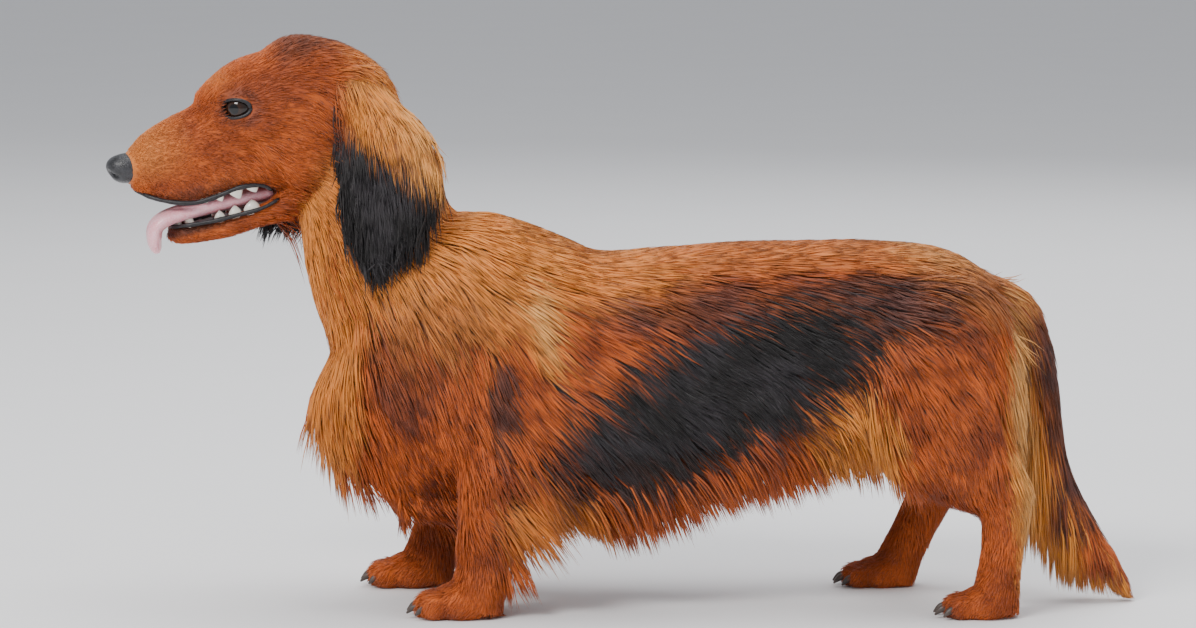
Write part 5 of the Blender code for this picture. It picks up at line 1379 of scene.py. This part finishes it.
def coat_finish(colours):
    """Hair: marked, darker at the roots as painted shade, streaked along each tuft in colour and bump."""
    finish = Finish("coat_hair", Roughness=0.52, Specular_IOR_Level=0.35, Sheen_Weight=0.12,
                    Sheen_Roughness=0.4)
    colour = hair_colour(finish, colours, finish.attribute("tint"))
    along = finish.attribute("along")
    strand = finish.node("ShaderNodeUVMap", {"uv_map": "Strand"}, out="UV")
    where = finish.node("ShaderNodeMapping", {}, {"Vector": strand, "Scale": (9.0, 1.6, 1.0)})
    hairs = finish.noise(where, 1.0, 2.0)
    streak = finish.mix(hairs.band(0.3, 0.7), (0.62, 0.62, 0.62), (1.12, 1.12, 1.12))
    colour = finish.mix(0.8, colour, streak, "MULTIPLY")
    # Painted shade: each tuft darkens towards its root, where the coat over it shades it.
    root = finish.mix(along.band(0.0, 0.55), (0.42, 0.38, 0.36), (1.0, 1.0, 1.0))
    colour = finish.mix(0.85, colour, root, "MULTIPLY")
    finish.bump(hairs, 0.55, 0.0004)
    return finish.set(Base_Color=colour, Roughness=0.46 + hairs * 0.18)


def skin_finish(colours):
    """Short fur on the skin: the coat's colours, darkened as painted shade under the coat, with fine bump
    drawn out along the head.
    """
    finish = Finish("short_fur", Specular_IOR_Level=0.3, Sheen_Weight=0.1, Sheen_Roughness=0.5)
    where = finish.places((4.0, 1.0, 1.3), (0.0, -HEAD_PITCH, HEAD_YAW))
    fine = finish.noise(where, 1500.0, 3.0)
    rough = finish.noise(where, 420.0, 2.0)
    colour = hair_colour(finish, colours, fine.band(0.2, 0.8))
    # Painted shade: the fur colour darkened, as if shaded by the coat over it.
    colour = finish.mix(0.5, colour, (0.62, 0.6, 0.58), "MULTIPLY")
    gum = finish.mix(rough.band(0.3, 0.7), (0.16, 0.035, 0.04), (0.30, 0.08, 0.085))
    mouth = finish.attribute("mouth")
    colour = finish.mix(mouth, colour, gum)
    lip = finish.attribute("lip")
    colour = finish.mix(lip, colour, finish.mix(rough, (0.012, 0.011, 0.013), (0.035, 0.032, 0.036)))
    wet = mouth.sum_of("MAXIMUM", mouth, lip)
    finish.bump((fine * 0.6 + rough * 0.7) * (1.0 - mouth * 0.8), 0.6, 0.0006)
    return finish.set(Base_Color=colour, Roughness=0.6 - 0.32 * wet)


def eye_finish():
    """A wet dark eye: pupil, brown iris with fine rays, dark limbal ring and brown white."""
    finish = Finish("eye_glass", Roughness=0.05, Coat_Weight=0.35, Coat_Roughness=0.02,
                    Specular_IOR_Level=0.3)
    gaze = finish.attribute("gaze")
    rays = finish.noise(finish.places((1.0, 1.0, 1.0)), 900.0, 3.0)
    iris = finish.mix(rays, (0.010, 0.004, 0.002), (0.040, 0.014, 0.006))
    iris = finish.mix(gaze.band(0.34, 0.72), iris, (0.012, 0.006, 0.004))
    colour = finish.mix(gaze.band(0.28, 0.33), (0.002, 0.002, 0.003), iris)
    edge = gaze.band(0.80, 0.92)
    white = finish.mix(rays, (0.03, 0.018, 0.015), (0.07, 0.045, 0.038))
    colour = finish.mix(edge, colour, white)
    return finish.set(Base_Color=colour)


def leather_finish():
    """The nose: black skin with small pebbles, moist in patches."""
    finish = Finish("nose_leather", Specular_IOR_Level=0.55, Coat_Weight=0.12, Coat_Roughness=0.3)
    where = finish.places((1.0, 1.0, 1.0))
    pebbles = finish.node("ShaderNodeTexVoronoi", {}, {"Vector": where, "Scale": 900.0}, "Distance")
    wear = finish.noise(where, 260.0)
    colour = finish.mix(wear.band(0.35, 0.7), (0.006, 0.006, 0.008), (0.028, 0.028, 0.033))
    finish.bump(1.0 - pebbles, 0.55, 0.0005)
    return finish.set(Base_Color=colour, Roughness=0.30 + wear * 0.22)


def rim_finish():
    """Hairless black skin of the lips and lids, wrinkled finely and moist."""
    finish = Finish("lip_skin", Specular_IOR_Level=0.35, Coat_Weight=0.12, Coat_Roughness=0.25)
    where = finish.places((1.0, 1.0, 1.0))
    wrinkles = finish.noise(where, 700.0)
    colour = finish.mix(wrinkles.band(0.3, 0.75), (0.006, 0.0055, 0.007), (0.026, 0.023, 0.026))
    finish.bump(wrinkles, 0.5, 0.0005)
    return finish.set(Base_Color=colour, Roughness=0.36 + wrinkles * 0.25)


def tongue_finish():
    """The tongue: pink, paler and rougher with fine papillae, and wet."""
    finish = Finish("tongue_skin", Subsurface_Weight=0.15, Subsurface_Radius=(0.01, 0.003, 0.002),
                    Subsurface_Scale=0.3, Coat_Weight=0.5, Coat_Roughness=0.18)
    where = finish.places((1.0, 1.0, 1.0))
    buds = finish.node("ShaderNodeTexVoronoi", {}, {"Vector": where, "Scale": 1300.0}, "Distance")
    broad = finish.noise(where, 130.0)
    colour = finish.mix(broad.band(0.3, 0.7), (0.78, 0.30, 0.36), (0.86, 0.44, 0.50))
    colour = finish.mix(buds.band(0.1, 0.6), (0.92, 0.58, 0.62), colour)
    finish.bump(1.0 - buds, 0.45, 0.0004)
    return finish.set(Base_Color=colour, Roughness=0.32 + broad * 0.2)


def tooth_finish():
    """Enamel: ivory, a little yellower in clouds."""
    finish = Finish("tooth_enamel", Coat_Weight=0.6, Coat_Roughness=0.1)
    cloud = finish.noise(finish.places((1.0, 1.0, 1.0)), 220.0)
    finish.bump(cloud, 0.15, 0.0004)
    return finish.set(Base_Color=finish.mix(cloud, (0.86, 0.80, 0.66), (0.93, 0.90, 0.82)),
                      Roughness=0.22 + cloud * 0.1)


def claw_finish():
    """Horn: dark, streaked along the claw."""
    finish = Finish("claw_horn")
    grain = finish.noise(finish.places((5.0, 1.0, 1.0)), 900.0)
    finish.bump(grain, 0.35, 0.0004)
    return finish.set(Base_Color=finish.mix(grain, (0.02, 0.015, 0.013), (0.12, 0.09, 0.075)),
                      Roughness=0.35 + grain * 0.2)


def floor_finish(colour):
    """Plain pale paper with the faintest grain."""
    finish = Finish("pale_floor", Roughness=0.85)
    grain = finish.noise(finish.places((1.0, 1.0, 1.0)), 6.0)
    pale = tuple(colour)
    return finish.set(Base_Color=finish.mix(grain, tuple(c * 0.97 for c in pale), pale))


# Settings and operators

class DachshundCoat(bpy.types.PropertyGroup):
    """Sizes of the coat's tufts."""
    density: bpy.props.FloatProperty(name="Density", description="Share of the full number of tufts",
                                     default=1.0, min=0.05, max=1.2, subtype="FACTOR")
    length: bpy.props.FloatProperty(name="Length", description="Share of the combed length of the hair",
                                    default=1.0, min=0.3, max=1.2, subtype="FACTOR")
    width: bpy.props.FloatProperty(name="Tuft width", description="Share of the combed width of a tuft",
                                   default=1.0, min=0.4, max=1.6, subtype="FACTOR")


class DachshundColours(bpy.types.PropertyGroup):
    """Colours of the hair, of the painted sheen on its black, and of the floor."""
    red: bpy.props.FloatVectorProperty(name="Red", description="Red hair of the legs and thighs",
                                       default=(0.74, 0.150, 0.016), subtype="COLOR")
    deep_red: bpy.props.FloatVectorProperty(name="Deep red", description="Darker red hair mixed in",
                                            default=(0.44, 0.078, 0.009), subtype="COLOR")
    gold: bpy.props.FloatVectorProperty(name="Gold", description="Golden hair of the ears and fringes",
                                        default=(0.95, 0.345, 0.048), subtype="COLOR")
    cream: bpy.props.FloatVectorProperty(name="Cream", description="Palest hair of the rump and streaks",
                                         default=(1.0, 0.55, 0.17), subtype="COLOR")
    dark: bpy.props.FloatVectorProperty(name="Dark", description="Black hair of the saddle",
                                        default=(0.010, 0.007, 0.007), subtype="COLOR")
    # Painted sheen: a blue-grey reflection colour painted into the black hair.
    painted_sheen: bpy.props.FloatVectorProperty(name="Slate", description="Blue-grey gloss among the black hair",
                                         default=(0.034, 0.028, 0.033), subtype="COLOR")
    floor: bpy.props.FloatVectorProperty(name="Floor", description="Colour of the floor",
                                         default=(0.86, 0.86, 0.87), subtype="COLOR")


class DachshundStage(bpy.types.PropertyGroup):
    """Camera and light."""
    distance: bpy.props.FloatProperty(name="Camera distance",
                                      description="From the camera to the dog's middle",
                                      default=3.0, min=1.0, max=10.0, unit="LENGTH")
    pitch: bpy.props.FloatProperty(name="Camera pitch", description="How far the camera looks down",
                                   default=math.radians(6.5), subtype="ANGLE")
    lens: bpy.props.FloatProperty(name="Lens", description="Focal length in millimetres",
                                  default=141.0, min=20.0, max=300.0)
    light: bpy.props.FloatProperty(name="Light", description="Share of the full light",
                                   default=1.0, min=0.0, max=4.0, subtype="FACTOR")


skin_data = {}


def finished(obj, finish, nodes):
    """Gives a piece its material and its place in the frame."""
    obj.data.materials.clear()
    obj.data.materials.append(finish)
    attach(obj, "root")
    if nodes:
        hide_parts(*nodes)
    return obj


class DACHSHUND_OT_skin(bpy.types.Operator):
    """Builds the one skin under the coat, with its markings"""
    bl_idname = "dachshund.skin"
    bl_label = "Skin"

    def execute(self, context):
        obj = build_skin()
        points, normals = vertex_arrays(obj)
        triangles = triangle_array(obj)
        if len(points) < 1000:
            raise RuntimeError("the skin came out empty")
        zones = find_zones(points)
        comb_table = comb_rows()
        comb = combed(points, comb_table)
        want = 1.0 / (comb[:, 3] * comb[:, 5]) ** 0.9
        x, y, z = points.T
        plume = np.clip((PLUME_TOP - z) / PLUME_FADE, 0, 1) * ((x > 252) & (np.abs(y) < 22))
        feather = (zones == ZONE["legs"]) & (normals[:, 0] > 0.3) & (z > FEATHER_LOW)
        want *= 1 + PLUME_EXTRA * plume
        want *= 1 + FEATHER_EXTRA * feather
        skin_data.update(points=points, normals=normals.astype(float), triangles=triangles,
                         face_zones=find_zones(points[triangles].mean(1)), comb=comb_table, want=want,
                         grid=NearGrid(points, normals.astype(float)))
        marks = skin_marks(points, normals, zones)
        put_colour(obj, "marks", np.column_stack([marks, np.ones(len(points))]))
        local = in_head(points)
        inner = np.minimum(profile_value(local, MOUTH, 0.3), profile_value(local, JAW_HOLLOW, 0.3))
        put_number(obj, "mouth", np.clip((1.12 - inner) / 0.1, 0, 1))
        socket = np.linalg.norm(one_side(local) - np.array(EYE_CENTRE), axis=1)
        put_number(obj, "lip", np.clip((SOCKET_RADIUS - 0.2 - socket) / 0.4, 0, 1) * (inner > 1.1))
        finished(obj, skin_finish(context.scene.dachshund_colours), SKIN_NODES)
        return {"FINISHED"}


class DACHSHUND_OT_coat(bpy.types.Operator):
    """Grows every piece of the coat from the skin"""
    bl_idname = "dachshund.coat"
    bl_label = "Coat"

    def execute(self, context):
        if not skin_data:
            raise RuntimeError("the coat needs the skin first")
        finish = coat_finish(context.scene.dachshund_colours)
        for name, (_, _, _, slot) in COATS.items():
            finished(grow_coat(name, skin_data, context.scene.dachshund_coat), finish, ())
        return {"FINISHED"}


class DACHSHUND_OT_face(bpy.types.Operator):
    """Builds the eyes, lid rims, nose, lips, teeth and tongue"""
    bl_idname = "dachshund.face"
    bl_label = "Face"

    def execute(self, context):
        eye, rim = eye_finish(), rim_finish()
        for side in (LEFT, RIGHT):
            finished(build_eye(side), eye, (f"eye_{SIDE_NAMES[side]}",))
            finished(build_rims(side), rim, ())
        finished(build_nose(), leather_finish(), ("nose",))
        finished(build_lips(), rim, ())
        finished(build_teeth(), tooth_finish(), ())
        finished(build_tongue(), tongue_finish(), ("tongue",))
        return {"FINISHED"}


class DACHSHUND_OT_claws(bpy.types.Operator):
    """Builds the claws of all four paws"""
    bl_idname = "dachshund.claws"
    bl_label = "Claws"

    def execute(self, context):
        finished(build_claws(), claw_finish(), ())
        return {"FINISHED"}


def area_light(name, place, towards, size, power, colour):
    """A rectangular light at a place, turned towards another."""
    light = bpy.data.lights.new(name, "AREA")
    light.shape, light.size, light.size_y, light.energy, light.color = "RECTANGLE", *size, power, colour
    obj = bpy.data.objects.new(name, light)
    obj.location = place
    obj.rotation_euler = (Vector(towards) - Vector(place)).to_track_quat("-Z", "Y").to_euler()
    bpy.context.scene.collection.objects.link(obj)


class DACHSHUND_OT_stage(bpy.types.Operator):
    """Sets the pale floor, the soft lights and the camera"""
    bl_idname = "dachshund.stage"
    bl_label = "Stage"

    def execute(self, context):
        settings = context.scene.dachshund_stage
        edge = 9000.0
        corners = np.array([(-edge, -edge, 0), (edge, -edge, 0), (edge, edge, 0), (-edge, edge, 0)])
        floor = put_mesh("floor", corners, np.array([(0, 1, 2, 3)]))
        floor.data.materials.append(floor_finish(context.scene.dachshund_colours.floor))
        world = bpy.data.worlds.new("studio")
        world.use_nodes = True
        world.node_tree.nodes["Background"].inputs["Color"].default_value = (0.93, 0.95, 1.0, 1.0)
        world.node_tree.nodes["Background"].inputs["Strength"].default_value = 0.55 * settings.light
        context.scene.world = world
        middle = (0.0, 0.0, 0.18)
        power = settings.light
        area_light("key", (-1.6, -2.2, 2.3), middle, (1.4, 1.0), 100 * power, (1.0, 0.985, 0.96))
        area_light("top", (0.3, 0.3, 2.6), middle, (2.0, 1.6), 50 * power, (1.0, 1.0, 1.0))
        area_light("fill", (2.4, -1.6, 1.2), middle, (1.8, 1.6), 16 * power, (0.94, 0.97, 1.0))
        area_light("rim", (0.8, 2.6, 1.7), middle, (1.8, 1.2), 22 * power, (1.0, 1.0, 1.0))
        camera = bpy.data.cameras.new("camera")
        camera.lens, camera.sensor_width, camera.clip_start = settings.lens, 36.0, 0.05
        eye = bpy.data.objects.new("camera", camera)
        target = Vector((-0.016, 0.0, 0.186))
        away = Vector((0.0, -math.cos(settings.pitch), math.sin(settings.pitch)))
        eye.location = target + away * settings.distance
        eye.rotation_euler = (-away).to_track_quat("-Z", "Y").to_euler()
        context.scene.collection.objects.link(eye)
        context.scene.camera = eye
        return {"FINISHED"}


class DACHSHUND_PT_panel(bpy.types.Panel):
    """The dachshund's settings and steps"""
    bl_idname = "DACHSHUND_PT_panel"
    bl_label = "Dachshund"
    bl_space_type = "VIEW_3D"
    bl_region_type = "UI"
    bl_category = "Dachshund"

    def draw(self, context):
        layout = self.layout
        for settings in (context.scene.dachshund_coat, context.scene.dachshund_colours,
                         context.scene.dachshund_stage):
            box = layout.box()
            for name in settings.__annotations__:
                box.prop(settings, name)
        for operator in OPERATORS:
            layout.operator(operator.bl_idname)


GROUPS = {"dachshund_coat": DachshundCoat, "dachshund_colours": DachshundColours,
          "dachshund_stage": DachshundStage}
OPERATORS = (DACHSHUND_OT_skin, DACHSHUND_OT_coat, DACHSHUND_OT_face, DACHSHUND_OT_claws,
             DACHSHUND_OT_stage)


def register():
    """Adds the settings, the steps and the panel to Blender."""
    for made in (*GROUPS.values(), *OPERATORS, DACHSHUND_PT_panel):
        bpy.utils.register_class(made)
    for name, group in GROUPS.items():
        setattr(bpy.types.Scene, name, bpy.props.PointerProperty(type=group))


def unregister():
    """Takes them out again."""
    for name in GROUPS:
        delattr(bpy.types.Scene, name)
    for made in reversed((*GROUPS.values(), *OPERATORS, DACHSHUND_PT_panel)):
        bpy.utils.unregister_class(made)


def main():
    """Builds the dressed dog in the frame."""
    register()
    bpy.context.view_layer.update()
    bpy.ops.dachshund.skin()
    bpy.ops.dachshund.coat()
    bpy.ops.dachshund.face()
    bpy.ops.dachshund.claws()
    bpy.ops.dachshund.stage()


if __name__ == "__main__":
    main()
